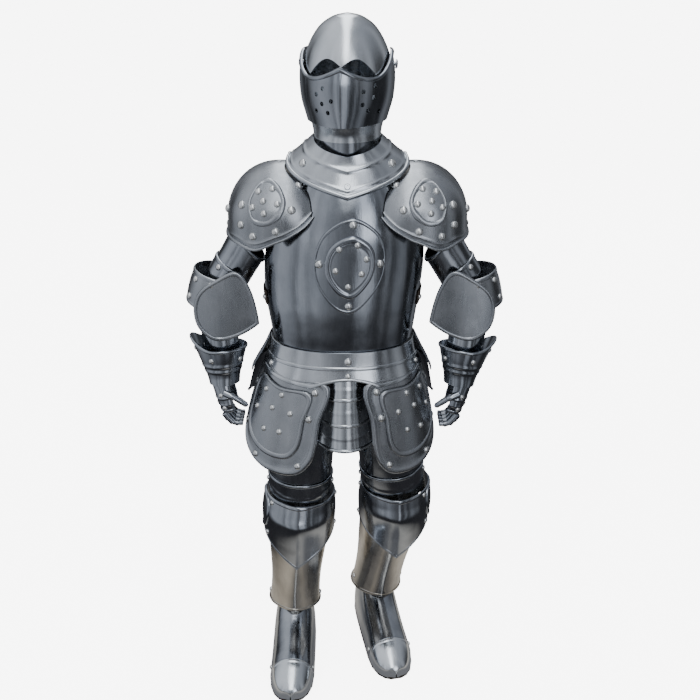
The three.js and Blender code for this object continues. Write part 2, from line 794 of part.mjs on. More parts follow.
// Leather straps that tie the back plate to the breast under each arm
function sideStraps() {
  for (const side of SIDES) {
    const middle = side === "left" ? 90 : -90;
    const band = plate(torso, {
      from: middle - 18,
      to: middle + 18,
      top: 582,
      bottom: 564,
      across: 6,
      down: 1,
      base: GAP,
      thick: 1.8,
    });
    const studs = [[middle - 14, 573], [middle + 14, 573]];
    const made = withRivets(band, torso, studs, GAP + 1.8, { radius: SMALL_RIVET_R + 0.6 });
    add(`side_strap_${side}`, made, leather);
  }
}

// Pauldron: a dome over the shoulder that falls into a lobe in front and behind
const PAULDRON = { wide: 65, front: 69, back: 64, high: 61, lap: 78 };
const pauldronForm = (() => {
  const at = (angle, v) => {
    const turn = THREE.MathUtils.degToRad(angle);
    const lap = Math.max(0, v - 1);
    const r = (v < 1 ? Math.sin((v * Math.PI) / 2) : 1) + 0.04 * lap;
    const z = v < 1 ? PAULDRON.high * Math.cos((v * Math.PI) / 2) : -PAULDRON.lap * lap;
    const depth = Math.cos(turn) > 0 ? PAULDRON.front : PAULDRON.back;
    return new THREE.Vector3(
      PAULDRON.wide * r * power(Math.sin(turn), 0.8),
      -depth * r * power(Math.cos(turn), 0.8),
      z,
    );
  };
  const outward = (angle, v) => {
    const across = at(angle + 1, v).sub(at(angle - 1, v));
    const down = at(angle, v + 0.02).sub(at(angle, v - 0.02));
    return down.cross(across).normalize();
  };
  return { at, outward, lift: (a, v, h) => at(a, v).addScaledVector(outward(a, v), h) };
})();
// How far down the dome its edge lies, from the neck at -90 to the arm at 90, the same in front and behind
const PAULDRON_HEM = [
  { turn: -90, down: 0.5 },
  { turn: -40, down: 0.86 },
  { turn: -14, down: 1.1 },
  { turn: 18, down: 1.38 },
  { turn: 45, down: 1.32 },
  { turn: 90, down: 1.3 },
];
const pauldronHem = (angle) => {
  const turn = ((angle + 540) % 360) - 180;
  const folded = Math.abs(turn) > 90 ? Math.sign(turn) * 180 - turn : turn;
  return column(PAULDRON_HEM, "turn", "down", folded);
};
const PAULDRON_STUDS = [[-28, 0.49], [-11, 0.79], [1, 1.06], [22, 1.15], [38, 1.0], [40, 0.76], [76, 0.9]];
const FLOWER_MIDDLE = [12, 0.69];
const FLOWER_PETALS = [[8, -0.11], [-8, -0.15], [-12, 0.03], [-2, 0.14], [11, 0.08]];

function pauldron(rooms) {
  const place = new THREE.Matrix4().setPosition(PAULDRON_CENTRE);
  const dome = plate(pauldronForm, {
    from: 0,
    to: 360,
    round: true,
    pole: true,
    top: 0,
    bottom: pauldronHem,
    across: 14,
    down: 5,
    spread: (v) => [0, 0.32, 0.6, 0.82, 0.95, 1][Math.round(v * 5)],
    rise: (u, v) => (v > 0.93 ? RIM_RISE : 0),
  });
  const studded = withRivets(dome, pauldronForm, PAULDRON_STUDS, PLATE, {}).add(
    rivet(pauldronForm, 92, 1.22, PLATE, { depth: 14 }), // it carries the upper cannon
  );
  for (const side of SIDES) {
    const made = onSide(side, placed(studded, place));
    add(`pauldron_${side}`, clear(made, ...rooms, onSide(side, upperCannon(side, AIR))), satinSteel);
  }

  const whole = (share) => 2 * Math.PI * share;
  const corners = [0, 1, 2, 3, 4, 5, 6, 7].map((i) => [
    FLOWER_MIDDLE[0] + 18 * Math.sin(whole(i / 8)),
    FLOWER_MIDDLE[1] - 0.29 * Math.cos(whole(i / 8)),
  ]);
  const panel = shield(pauldronForm, {
    middle: FLOWER_MIDDLE,
    corners,
    spokes: 12,
    rings: [0, 0.5, 0.86, 1],
    base: PLATE + 2 * GAP,
    thick: 1.2,
    rise: (ring) => (ring > 0.85 ? 0.7 : 0),
  });
  const petals = FLOWER_PETALS.map(([a, v]) => [FLOWER_MIDDLE[0] + a, FLOWER_MIDDLE[1] + v]);
  const heads = [FLOWER_MIDDLE, ...petals];
  const flower = withRivets(panel, pauldronForm, heads, PLATE + 2 * GAP + 1.2, { radius: 4 });
  const studRoom = PAULDRON_STUDS.map(([a, v]) =>
    rivet(pauldronForm, a, v, PLATE, { radius: RIVET_R + 0.6 }),
  );
  addPair("pauldron_panel", placed(clear(flower, ...studRoom), place), satinSteel);
}

// Arm: upper cannon, a lame, the couter with its wing, a lame, lower cannon and gauntlet
const WING = {
  middle: [-16, 2],
  corners: [
    [-21, 54], [-42, 34], [-62, -10], [-39, -34], [-12, -46],
    [12, -34], [23, -10], [21, 14], [4, 36],
  ],
};
function upperCannon(side, grow = 0) {
  const { shoulder, elbow } = ARMS[side];
  const frame = limb(new THREE.Vector3(...elbow), new THREE.Vector3(...shoulder));
  const made = tube(upperArm, {
    top: (angle) => 91 + 11 * Math.sin(THREE.MathUtils.degToRad(angle)),
    bottom: 20,
    across: 16,
    down: 3,
    grow,
    spread: (v) => [0, 0.05, 0.35, 1][Math.round(v * 3)],
    rise: (u, v) => (v < 0.1 ? RIM_RISE : 0),
  });
  return placed(made, frame.matrix);
}

function arm(side, { shoulder, elbow, wrist, lean }) {
  const [shoulderAt, elbowAt, wristAt] = [shoulder, elbow, wrist].map((p) => new THREE.Vector3(...p));
  const upper = limb(elbowAt, shoulderAt);
  const lower = limb(wristAt, elbowAt);
  const middle = new THREE.Group();
  middle.position.copy(elbowAt);
  const upperLean = Math.atan2(elbow[0] - shoulder[0], shoulder[2] - elbow[2]);
  const lowerLean = Math.atan2(elbow[0] - wrist[0], elbow[2] - wrist[2]);
  middle.rotation.y = (lowerLean - upperLean) / 2;
  middle.updateMatrix();
  const put = (name, solid, material) => add(`${name}_${side}`, onSide(side, solid), material);
  put("upper_cannon", upperCannon(side), steel);

  const lameBase = PLATE + GAP;
  const lame = { from: -22.5, to: 202.5, across: 10, down: 1, base: lameBase };
  const upperLame = (grow) => plate(upperArm, { ...lame, top: 54, bottom: 16, grow });
  const lameStuds = [[40, 46], [140, 46]];
  const upperMade = withRivets(upperLame(0), upperArm, lameStuds, lameBase + PLATE, { radius: 4 });
  const couterSpec = { from: -26, to: 202, across: 12, down: 2 };
  const couterRoom = placed(
    plate(couterForm, { ...couterSpec, top: 37, bottom: -12, grow: AIR }),
    middle.matrix,
  );
  put("elbow_lame_upper", clear(placed(upperMade, upper.matrix), couterRoom), steel);

  const cop = plate(couterForm, { ...couterSpec, top: 36, bottom: -11 });
  const leaf = shield(board(-34.7, 0.0012), {
    middle: WING.middle,
    corners: WING.corners,
    spokes: 15,
    rings: [0, 0.6, 0.92, 1],
    rise: (ring) => (ring > 0.9 ? RIM_RISE : 0),
  });
  // the deep rivets carry the upper lame, and the two pins are the elbow's hinge
  const reach = couterForm.at(0, 0).y + 0.3;
  const pinEnd = forearm.at(0, 130).y - lameBase - PLATE - 2 * AIR;
  const pin = (way) => rod(new THREE.Vector3(0, reach * way, 0), new THREE.Vector3(0, pinEnd * way, 0), 3, 6);
  const copMade = withRivets(cop.add(leaf), couterForm, [[52, 26], [60, 0], [120, 12]], PLATE, { radius: 4 })
    .add(rivet(couterForm, 12, 28, PLATE, { radius: 4, depth: 14 }))
    .add(rivet(couterForm, 168, 28, PLATE, { radius: 4, depth: 14 }))
    .add(pin(1))
    .add(pin(-1));
  const upperRoom = placed(upperLame(AIR), upper.matrix);
  put("couter", clear(placed(copMade, middle.matrix), upperRoom), satinSteel);

  const length = wristAt.distanceTo(elbowAt);
  const lowerLame = plate(forearm, { ...lame, top: length + 7, bottom: length - 30 });
  put("elbow_lame_lower", placed(lowerLame, lower.matrix), steel);
  const vambrace = (grow) =>
    placed(tube(forearm, { top: length - 12, bottom: 14, across: 16, down: 1, grow }), lower.matrix);
  put("lower_cannon", vambrace(0), steel);

  const rightAngle = (angle) => Math.max(0, Math.cos(THREE.MathUtils.degToRad(angle - 90)));
  const cuffSpec = { bottom: 2, across: 14, down: 3, base: GAP };
  const cuff = tube(cuffForm, {
    ...cuffSpec,
    top: (angle) => 54 + 18 * rightAngle(angle) ** 3,
    spread: (v) => [0, 0.07, 0.4, 1][Math.round(v * 3)],
    rise: (u, v) => (v < 0.08 ? 1 : 0),
  });
  const cuffStuds = [[90, 52], [-60, 38]];
  const cuffMade = withRivets(cuff, cuffForm, cuffStuds, GAP + PLATE, { radius: 3.6 }).add(
    rivet(cuffForm, 20, 40, GAP + PLATE, { radius: 3.6, depth: 14 }), // it seats the cuff on the cannon
  );
  put("gauntlet_cuff", clear(placed(cuffMade, lower.matrix), vambrace(AIR)), steel);

  const hand = new THREE.Group();
  hand.position.copy(wristAt);
  hand.rotation.y = THREE.MathUtils.degToRad(lean);
  hand.updateMatrix();
  const back = plate(handForm, { from: -30, to: 210, top: 5, bottom: -36, across: 10, down: 2 });
  const handStuds = [[20, -9], [20, -28], [90, -26]];
  const handMade = withRivets(back, handForm, handStuds, PLATE, { radius: 3.4 }).add(thumb());
  const cuffRoom = placed(tube(cuffForm, { ...cuffSpec, top: 54, bottom: 0, grow: AIR }), lower.matrix);
  put("gauntlet_hand", clear(placed(handMade, hand.matrix), cuffRoom), steel);
  put("gauntlet_fingers", placed(fingers(), hand.matrix), steel);
}

// Fingers: four rows of scales that curl in under the hand's back, joined side by side
const FINGERS = { pitch: 10, radius: 6.2, links: [[8, -37.8], [3, -52], [-8, -57]] };
function fingers() {
  let made = null;
  for (let i = 0; i < 4; i++) {
    const y = (i - 1.5) * FINGERS.pitch;
    for (let j = 0; j < FINGERS.links.length - 1; j++) {
      const [a, b] = [FINGERS.links[j], FINGERS.links[j + 1]];
      const link = rod(
        new THREE.Vector3(a[0], y, a[1] - 0.4),
        new THREE.Vector3(b[0], y, b[1] - 1),
        FINGERS.radius - 0.7 * j,
        6,
      );
      made = made ? made.add(link) : link;
    }
  }
  return made;
}

// Thumb: two links from the front edge of the hand towards the hip
function thumb() {
  const [root, joint, tip] = [
    new THREE.Vector3(0, -19, -6),
    new THREE.Vector3(-14, -24, -14),
    new THREE.Vector3(-25, -24, -27),
  ];
  return rod(root, joint, 5, 6).add(rod(joint, tip, 4.4, 6));
}

// Leg: cuisse, a lame, the winged poleyn and a closed greave
const KNEE_WING = [[58, 26], [90, 34], [120, 18], [116, -14], [88, -26], [60, -12]];
function leg(side, { hip, knee: kneeAt, ankle, toeOut }) {
  const [h, k, a] = [hip, kneeAt, ankle].map((p) => new THREE.Vector3(...p));
  const upper = limb(k, h);
  const lower = limb(a, k, toeOut);
  const joint = limb(k, h.clone().sub(a).add(k), toeOut / 2);
  const out = side === "left" ? 1 : -1;
  const length = a.distanceTo(k);

  const cuisse = (grow, base = 0) =>
    placed(
      tube(thigh, { top: 196, bottom: 34, across: 16, down: 2, grow, base, thick: PLATE - base }),
      upper.matrix,
    );
  add(`cuisse_${side}`, cuisse(0), steel);

  // a leather strap hangs the cuisse from the inside of the tasset
  const strapAngle = 40 * out;
  const strapTop = skirt.lift(strapAngle, 462, TASSET_BASE - 1);
  const strapFoot = thigh.lift(strapAngle, 172, 1).applyMatrix4(upper.matrix);
  const strapFrame = limb(strapFoot, strapTop, strapAngle);
  const strapLength = strapFoot.distanceTo(strapTop);
  const strap = placed(block(20, 2, strapLength, 0, 0, strapLength / 2), strapFrame.matrix);
  add(`thigh_strap_${side}`, clear(strap, fauldLame(AIR), tassetShell(side, AIR), cuisse(AIR, -20)), leather);

  const lame = (grow) =>
    plate(thigh, {
      from: -112.5,
      to: 112.5,
      top: 64,
      bottom: 22,
      across: 10,
      down: 2,
      base: PLATE + GAP,
      grow,
      spread: (v) => [0, 0.1, 1][Math.round(v * 2)],
      rise: (u, v) => (v < 0.05 ? 0.8 : 0),
    });
  const lameStuds = [[-82, 52], [82, 52]];
  const lameMade = withRivets(lame(0), thigh, lameStuds, 2 * PLATE + GAP, { radius: 3.6 });
  const kneeSpec = { from: -120, to: 120, across: 14, down: 3 };
  const kneeRoom = placed(plate(knee, { ...kneeSpec, top: 36, bottom: -70, grow: AIR }), joint.matrix);
  const lameCut = clear(placed(lameMade, upper.matrix), kneeRoom);
  add(`knee_lame_${side}`, lameCut, steel);

  const kneeHem = (angle) => -30 - 44 * bump(angle, 0, 80) ** 1.2;
  const cop = plate(knee, { ...kneeSpec, top: 34, bottom: kneeHem });
  const wing = shield(knee, {
    middle: [88 * out, 4],
    corners: KNEE_WING.map(([angle, z]) => [angle * out, z]),
    spokes: 12,
    rings: [0, 0.85, 1],
    base: PLATE - 0.3,
    thick: 1.4,
    rise: (ring) => (ring > 0.9 ? 3 : 1),
  });
  // the deep rivets reach the lame above and the greave below
  const deep = [[-92 * out, 27], [-92 * out, -24]];
  const studs = [[50 * out, 27], [60 * out, -26]];
  const studded = withRivets(cop.add(wing), knee, studs, PLATE, { radius: 3.6 });
  const copMade = withRivets(studded, knee, deep, PLATE, { radius: 3.6, depth: 16 });
  const greaveHem = (angle) => 4.4 + 7 * Math.cos(THREE.MathUtils.degToRad(angle));
  const greaveSpec = {
    top: (angle) => length - 14 - 6 * Math.abs(Math.sin(THREE.MathUtils.degToRad(angle))),
    bottom: greaveHem,
    across: 16,
    down: 3,
  };
  const greaveRoom = tube(shin, { ...greaveSpec, top: (angle) => greaveSpec.top(angle) + AIR, grow: AIR });
  const room = [placed(greaveRoom, lower.matrix), placed(lame(AIR), upper.matrix), cuisse(AIR)];
  add(`poleyn_${side}`, clear(placed(copMade, joint.matrix), ...room), steel);

  const foot = new THREE.Group();
  foot.position.set(a.x, a.y - 1.2, 0);
  foot.rotation.z = THREE.MathUtils.degToRad(toeOut);
  foot.updateMatrix();
  const { shoe, toe, sole } = sabaton();
  const greave = tube(shin, greaveSpec);
  const greaveMade = withRivets(greave, shin, [[88, 18], [-88, 18]], PLATE, { radius: 3.6 });
  add(`greave_${side}`, placed(greaveMade, lower.matrix), satinSteel);
  // the shoe is cut away all round the greave's foot
  const ankleRoom = tube(shin, { ...greaveSpec, base: -28, thick: 28 + PLATE, grow: AIR });
  add(`sabaton_${side}`, clear(placed(shoe, foot.matrix), placed(ankleRoom, lower.matrix)), steel);
  add(`toe_cap_${side}`, placed(toe, foot.matrix), brightSteel);
  add(`sole_${side}`, placed(sole, foot.matrix), leather);
}

// A closed loft of arched sections along the foot, shrunk by inset all round
const SHOE_STATIONS = [41, 33, 10, -30, -68, -100, -124, -140, -147];
function shoeLoft(inset, low, from, to) {
  const [along, over] = [SHOE_STATIONS.length - 1, 8];
  const points = [];
  for (let i = 0; i <= along; i++) {
    const y = Math.min(Math.max(SHOE_STATIONS[i], to), from);
    const inside = Math.min(Math.max(y, SHOE[0].y + inset), SHOE.at(-1).y - inset);
    const wide = column(SHOE, "y", "wide", inside) - inset;
    const high = column(SHOE, "y", "high", inside) - inset;
    for (let j = 0; j <= over; j++) {
      const turn = mix(-Math.PI / 2, Math.PI / 2, j / over);
      const x = Math.max(1, wide) * power(Math.sin(turn), 0.85);
      const rise = (SOLE_THICK + GAP - low) * Math.cos(turn) ** 0.2;
      points.push(new THREE.Vector3(x, y, low + rise + Math.max(1, high) * power(Math.cos(turn), 0.85)));
    }
  }
  const triangles = [];
  const at = (i, j) => i * (over + 1) + (j % (over + 1));
  for (let i = 0; i < along; i++)
    for (let j = 0; j <= over; j++) {
      triangles.push([at(i, j), at(i, j + 1), at(i + 1, j + 1)], [at(i, j), at(i + 1, j + 1), at(i + 1, j)]);
    }
  for (let j = 1; j < over; j++) {
    triangles.push([at(0, 0), at(0, j + 1), at(0, j)]);
    triangles.push([at(along, 0), at(along, j), at(along, j + 1)]);
  }
  return solidFrom(points, triangles);
}

const TOE_LINE = -104;

// Sabaton: a shoe of plate open at the ankle, a toe cap and a flat sole
function sabaton() {
  const [back, front] = [SHOE.at(-1).y, SHOE[0].y];
  const outer = shoeLoft(0, SOLE_THICK + GAP, back, front);
  const inner = shoeLoft(PLATE, SOLE_THICK + GAP - 2, back - 2, front + 2);
  const hollow = outer.subtract(inner);
  const ankle = rod(new THREE.Vector3(0, 2, 62), new THREE.Vector3(0, 2, 100), 29, 12);
  const toeBox = block(100, 80, 100, 0, TOE_LINE - 40, 50);
  const shoeBox = block(100, 80, 100, 0, TOE_LINE - 40 + GAP, 50);
  const shoe = clear(hollow.subtract(ankle).subtract(shoeBox));
  const toe = clear(hollow.intersect(toeBox));
  const side = new THREE.Shape(
    soleOutline().map(([x, y]) => new THREE.Vector2(x, y)),
  );
  const sole = toSolid(new THREE.ExtrudeGeometry(side, { depth: SOLE_THICK, bevelEnabled: false }));
  return { shoe, toe, sole };
}

function soleOutline() {
  const right = SHOE.map(({ y, wide }) => [wide + 0.6, y]);
  const left = SHOE.map(({ y, wide }) => [-wide - 0.6, y]).reverse();
  return [...right, ...left];
}

// Assembly
helmet();
visor();
const gorgetSolid = gorget();
add("gorget", gorgetSolid, steel);
add("breastplate", chest(0), steel);
add("backplate", chest(180), steel);
boss();
skirts();
sideStraps();
// room that the pauldrons leave for the collar and the chest
const collarRoom = tube(collar, {
  top: (angle) => gorgetTop(angle) + 1,
  bottom: (angle) => gorgetHem(angle) - 1,
  across: 20,
  down: 1,
  base: -30,
  thick: 31 + PLATE + RIM_RISE,
});
pauldron([collarRoom, chestRoom(1.9)]);
for (const side of SIDES) {
  arm(side, ARMS[side]);
  leg(side, LEGS[side]);
}

// the origin lies under the middle of the suit's bounding box
const bounds = new THREE.Box3().setFromObject(suit);
suit.position.set(-(bounds.min.x + bounds.max.x) / 2, -(bounds.min.y + bounds.max.y) / 2, 0);

export default suit;
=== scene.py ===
# %% [markdown]
# # A suit of plate armour, three feet tall
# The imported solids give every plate's place. This script dresses them: each coarse plate is drawn again
# from the same tables of sections with a much finer grid, rolled edges and domed rivets.
# Everything could be sculpted by hand instead. Tables are used because armour is made over forms, and a
# table of half widths up a form is how a maker would write that form down.

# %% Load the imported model
import bpy
import bmesh
import numpy as np
from mathutils import Matrix, Vector


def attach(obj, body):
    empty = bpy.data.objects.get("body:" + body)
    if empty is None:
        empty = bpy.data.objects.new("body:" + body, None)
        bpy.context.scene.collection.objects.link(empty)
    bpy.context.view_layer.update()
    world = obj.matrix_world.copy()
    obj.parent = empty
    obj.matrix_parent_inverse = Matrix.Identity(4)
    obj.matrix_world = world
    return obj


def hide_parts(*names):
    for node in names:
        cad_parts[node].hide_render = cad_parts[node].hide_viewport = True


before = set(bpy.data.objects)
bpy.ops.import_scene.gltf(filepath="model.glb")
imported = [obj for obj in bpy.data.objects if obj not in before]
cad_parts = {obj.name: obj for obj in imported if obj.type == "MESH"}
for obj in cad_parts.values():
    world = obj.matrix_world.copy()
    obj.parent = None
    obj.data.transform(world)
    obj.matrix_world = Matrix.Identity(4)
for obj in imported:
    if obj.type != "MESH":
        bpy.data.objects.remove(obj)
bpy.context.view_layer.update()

# %% [markdown]
# ## Sizes
# The suit is measured in millimetres from a point between the feet, and moved at the end so that the
# origin lies under the middle of its box. The sheet is 1.2 mm steel, as display armour of this size has.

# %% Sizes
MIDDLE = np.array([4.046, 30.075, 0.0])
PLATE = 1.2
GAP = 0.4
AIR = 0.35
BEAD = 2.0
SOLE_THICK = 3
HEAD_TURN = 7
FRONT_TURN = 3.5
ARMS = {
    "right": {"shoulder": (93, 6, 690), "elbow": (172, 6, 562), "wrist": (166, -10, 443), "lean": 12},
    "left": {"shoulder": (86, 6, 690), "elbow": (164, 6, 562), "wrist": (149, -14, 443), "lean": 14},
}
LEGS = {
    "right": {"hip": (-60, 0, 470), "knee": (-70, -8, 238), "ankle": (-82, 0, 60), "toe_out": 0},
    "left": {"hip": (48, 0, 470), "knee": (67, 8, 245), "ankle": (43, 40, 60), "toe_out": 11},
}
SIDES = ("left", "right")

# %% [markdown]
# ## Tables of sections
# Each row is one slice of a form: its height, where its middle lies, and its half sizes.
# A smooth curve runs through each column, so a few rows are enough.

# %% Tables
def table(columns, *rows):
    return dict(zip(columns.split(), np.array(rows, float).T))


TORSO = table(
    "z side wide front back",
    (494, -7, 90, 60, 50), (514, -7, 91.6, 63, 52), (540, -7, 95, 67, 53), (575, -7, 99.5, 72, 57),
    (620, -4.5, 101, 75, 62), (660, -1.5, 96, 72, 66), (690, 0, 86, 66, 63), (715, 0, 74, 58, 56),
    (742, 0, 56, 47, 46),
)
HELMET = table(
    "down z wide front back",
    (0, 912.5, 0.5, 0.5, 0.5), (0.12, 908, 18, 20, 22), (0.25, 896, 34, 38, 40), (0.4, 873, 47, 52, 54),
    (0.52, 850, 52, 58, 60), (0.66, 822, 51, 59, 59), (0.8, 797, 44.5, 55, 51), (0.9, 778, 40.5, 47, 44),
    (1, 748, 40, 44, 43),
)
COLLAR = table(
    "z wide front back",
    (706, 112, 67.5, 66), (720, 99, 61, 60), (740, 80, 52.5, 52), (750, 69, 49, 48.5),
    (761, 55, 46.5, 46), (772, 42.2, 45.4, 44.8),
)
SKIRT = table(
    "z side wide front back",
    (335, -13, 136, 92, 82), (374, -12, 131.5, 89, 78), (430, -10, 119, 83, 71), (470, -8, 107, 75, 63),
    (492, -7, 98, 68, 57), (514, -7, 92.4, 63.8, 52.8),
)
CULET = table(
    "z side wide front back",
    (394, -11, 134, 80, 88), (440, -9.5, 125, 76, 80), (470, -8, 117, 72, 72), (495, -7, 104, 68, 62),
    (514, -7, 95.2, 66, 54.8),
)
GROIN = table(
    "z side wide front back",
    (372, -4, 52, 82, 20), (410, -4, 48, 77.5, 20), (446, -4, 44, 72, 20), (484, -4, 40, 63.5, 20),
)
UPPER_ARM = table("z wide front back", (0, 26, 26, 26), (60, 25.5, 26, 26), (100, 27, 28, 28))
FOREARM = table("z wide front back", (10, 19.5, 18.5, 18.5), (50, 22, 20.5, 20.5), (130, 26, 24, 24))
CUFF = table(
    "z wide front back",
    (0, 18.5, 19.5, 19.5), (14, 20.8, 20.6, 20.6), (44, 30, 28, 28), (72, 38.5, 34.5, 34.5),
)
COUTER = table(
    "z wide front back",
    (-12, 36, 33, 33), (0, 37, 33.5, 33.5), (18, 36.5, 34, 34), (36, 34, 33.5, 33.5),
)
HAND = table("z wide front back", (-38, 13, 19, 19), (-18, 15, 21, 21), (6, 16, 17, 17))
THIGH = table(
    "z wide front back",
    (18, 42, 42, 38), (90, 44, 45, 42), (170, 48, 49, 46), (240, 50, 50, 48),
)
KNEE = table(
    "z wide front back",
    (-84, 44, 46.5, 42), (-40, 49, 51.5, 45), (0, 51, 56, 46), (18, 50, 51, 46), (42, 46.8, 44.8, 45),
)
SHIN = table(
    "z wide front back",
    (0, 39.5, 39, 36), (14, 36.5, 36, 33), (60, 36, 37, 36), (120, 41, 43, 41), (150, 43.5, 46, 42),
    (172, 44, 47.5, 42),
)
SHOE = table(
    "y wide high",
    (-147, 7, 11), (-143, 16, 17), (-134, 24, 24), (-118, 30, 32), (-98, 32, 38), (-66, 32, 46),
    (-38, 32, 58), (-8, 31.5, 78), (16, 30, 78), (34, 24, 70), (41, 10, 62),
)
print("a slice of the torso at the waist:", {k: float(v[1]) for k, v in TORSO.items()})

# %% [markdown]
# ## Forms
# A form answers two questions for any angle and height: where is the surface, and which way is out.
# Plates that lie over one another are the same form lifted by different amounts, so they never meet.

# %% Forms
def read(rows, key, name, at):
    at = np.asarray(at, float)
    if name not in rows:
        return np.zeros_like(at)
    x, y = rows[key], rows[name]
    last = len(x) - 1
    before = np.maximum(np.arange(last + 1) - 1, 0)
    after = np.minimum(np.arange(last + 1) + 1, last)
    slope = (y[after] - y[before]) / (x[after] - x[before])
    i = np.clip(np.searchsorted(x, at, side="right") - 1, 0, last - 1)
    width = x[i + 1] - x[i]
    t = np.clip((at - x[i]) / width, 0, 1)
    value = (
        (2 * t**3 - 3 * t**2 + 1) * y[i]
        + (t**3 - 2 * t**2 + t) * width * slope[i]
        + (3 * t**2 - 2 * t**3) * y[i + 1]
        + (t**3 - t**2) * width * slope[i + 1]
    )
    value = value + np.minimum(0, at - x[0]) * slope[0]
    return value + np.maximum(0, at - x[-1]) * slope[-1]


def power(x, e):
    return np.sign(x) * np.abs(x) ** e


def mix(a, b, t):
    return a + (b - a) * t


def bump(x, middle, half):
    return np.maximum(0, 1 - np.abs((x - middle) / half))


def smooth(x, low, high):
    t = np.clip((x - low) / (high - low), 0, 1)
    return t * t * (3 - 2 * t)


def centred(angle):
    return (np.asarray(angle, float) + 180) % 360 - 180


class Form:
    """A surface: place(angle, along) gives points, and step is a small move down it."""

    def __init__(self, place, step=-0.5):
        self.place = place
        self.step = step

    def at(self, angle, along):
        angle, along = np.broadcast_arrays(np.asarray(angle, float), np.asarray(along, float))
        return np.stack(self.place(angle, along), -1)

    def outward(self, angle, along):
        angle = np.asarray(angle, float)
        along = np.asarray(along, float)
        across = self.at(angle + 1, along) - self.at(angle - 1, along)
        down = self.at(angle, along + self.step) - self.at(angle, along - self.step)
        normal = np.cross(down, across)
        return normal / np.maximum(np.linalg.norm(normal, axis=-1, keepdims=True), 1e-9)

    def lift(self, angle, along, height):
        return self.at(angle, along) + self.outward(angle, along) * np.asarray(height)[..., None]


def body(rows, key="z", square=1.0, ridge=0.0, ridge_half=40.0):
    def place(angle, along):
        turn = np.radians(angle)
        depth = np.where(np.cos(turn) > 0, read(rows, key, "front", along), read(rows, key, "back", along))
        keel = ridge * bump(centred(angle), 0, ridge_half)
        x = read(rows, key, "side", along) + read(rows, key, "wide", along) * power(np.sin(turn), square)
        y = -(depth * power(np.cos(turn), square) + keel)
        return x, y, along if key == "z" else read(rows, key, "z", along)

    return Form(place, -0.5 if key == "z" else 0.004)


torso = body(TORSO, square=0.9)
head = body(HELMET, key="down")
visor_form = body(HELMET, key="down", ridge=9, ridge_half=48)
collar = body(COLLAR)
skirt = body(SKIRT, square=0.9)
culet = body(CULET, square=0.9)
groin = body(GROIN)
upper_arm = body(UPPER_ARM)
forearm = body(FOREARM)
cuff_form = body(CUFF)
couter_form = body(COUTER)
hand_form = body(HAND)
thigh = body(THIGH)
knee = body(KNEE, ridge=3, ridge_half=30)
shin = body(SHIN, ridge=3, ridge_half=35)


def helmet_down(z):
    downs = np.linspace(0, 1, 2001)
    return np.interp(-np.asarray(z, float), -read(HELMET, "down", "z", downs), downs)


print("helmet half width at the pivots:", round(float(head.at(90, helmet_down(856))[0]), 1), "mm")

# %% [markdown]
# ## From grids to plates
# A plate is two grids, its outer and inner faces, closed by a narrow rounded edge all round.
# A Solidify modifier could thicken one grid, but here the two faces also differ where an edge is rolled.

# %% Closed plates from two grids
def shell(outer, inner, closed=False, pole=False):
    rows, cols = outer.shape[:2]
    points = [outer.reshape(-1, 3), inner.reshape(-1, 3)]
    size = rows * cols
    O = np.arange(size).reshape(rows, cols)
    I = O + size
    count = 2 * size

    def edge(a, b, a2, b2):
        nonlocal count
        out = (a - a2) + (b - b2)
        length = np.maximum(np.linalg.norm(out, axis=-1, keepdims=True), 1e-9)
        half = np.linalg.norm(a - b, axis=-1, keepdims=True) / 2
        new = (a + b) / 2 + out / length * half * 0.7
        points.append(new)
        index = np.arange(count, count + len(new))
        count += len(new)
        return index

    foot = edge(outer[-1], inner[-1], outer[-2], inner[-2])
    top = None if pole else edge(outer[0], inner[0], outer[1], inner[1])
    faces = []

    def strip(a, b):
        faces.append(np.stack([a[:-1], b[:-1], b[1:], a[1:]], -1))

    def loop(a):
        return np.append(a, a[0]) if closed else a

    for j in range(rows - 1):
        strip(loop(O[j]), loop(O[j + 1]))
        strip(loop(I[j + 1]), loop(I[j]))
    strip(loop(O[-1]), loop(foot))
    strip(loop(foot), loop(I[-1]))
    if not pole:
        strip(loop(top), loop(O[0]))
        strip(loop(I[0]), loop(top))
    if not closed:
        for column, beside, turned in ((0, 1, False), (cols - 1, cols - 2, True)):
            side = edge(outer[1:-1, column], inner[1:-1, column], outer[1:-1, beside], inner[1:-1, beside])
            start = O[0, column] if pole else top[column]
            side = np.concatenate([[start], side, [foot[column]]])
            a, b = O[:, column], I[:, column]
            if turned:
                strip(side, a)
                strip(b, side)
            else:
                strip(a, side)
                strip(side, b)
    P = np.concatenate(points)
    F = np.concatenate(faces)
    if pole:
        same = np.arange(len(P))
        same[O[0]] = O[0, 0]
        same[I[0]] = I[0, 0]
        F = same[F]
    return facing_out(P, [tidy(face) for face in F.tolist()])


def tidy(face):
    kept = [v for i, v in enumerate(face) if v != face[i - 1]]
    return kept


def facing_out(P, faces):
    faces = [f for f in faces if len(f) > 2]
    volume = 0.0
    for f in faces:
        for k in range(1, len(f) - 1):
            volume += np.dot(P[f[0]], np.cross(P[f[k]], P[f[k + 1]]))
    if volume < 0:
        faces = [f[::-1] for f in faces]
    return P, faces


def value(x, at):
    return x(at) if callable(x) else np.full_like(at, x)


def bead(distance, rise, width=5.0):
    t = (distance - width / 2) / (width / 2)
    return rise * np.sqrt(np.clip(1 - t * t, 0, 1))


def steps(count, span, fine_start=False, fine_end=False):
    near = np.array([0.3, 0.8, 1.5, 2.3, 3.2, 4.0, 4.6, 5.0, 5.6]) / span
    values = [np.linspace(0, 1, count + 1)]
    if fine_start:
        values.append(near)
    if fine_end:
        values.append(1 - near)
    merged = np.sort(np.concatenate(values))
    kept = [0.0]
    for v in merged[1:]:
        if v - kept[-1] > 0.22 / span and v < 1 - 0.1 / span:
            kept.append(float(v))
    return np.array([*kept, 1.0])


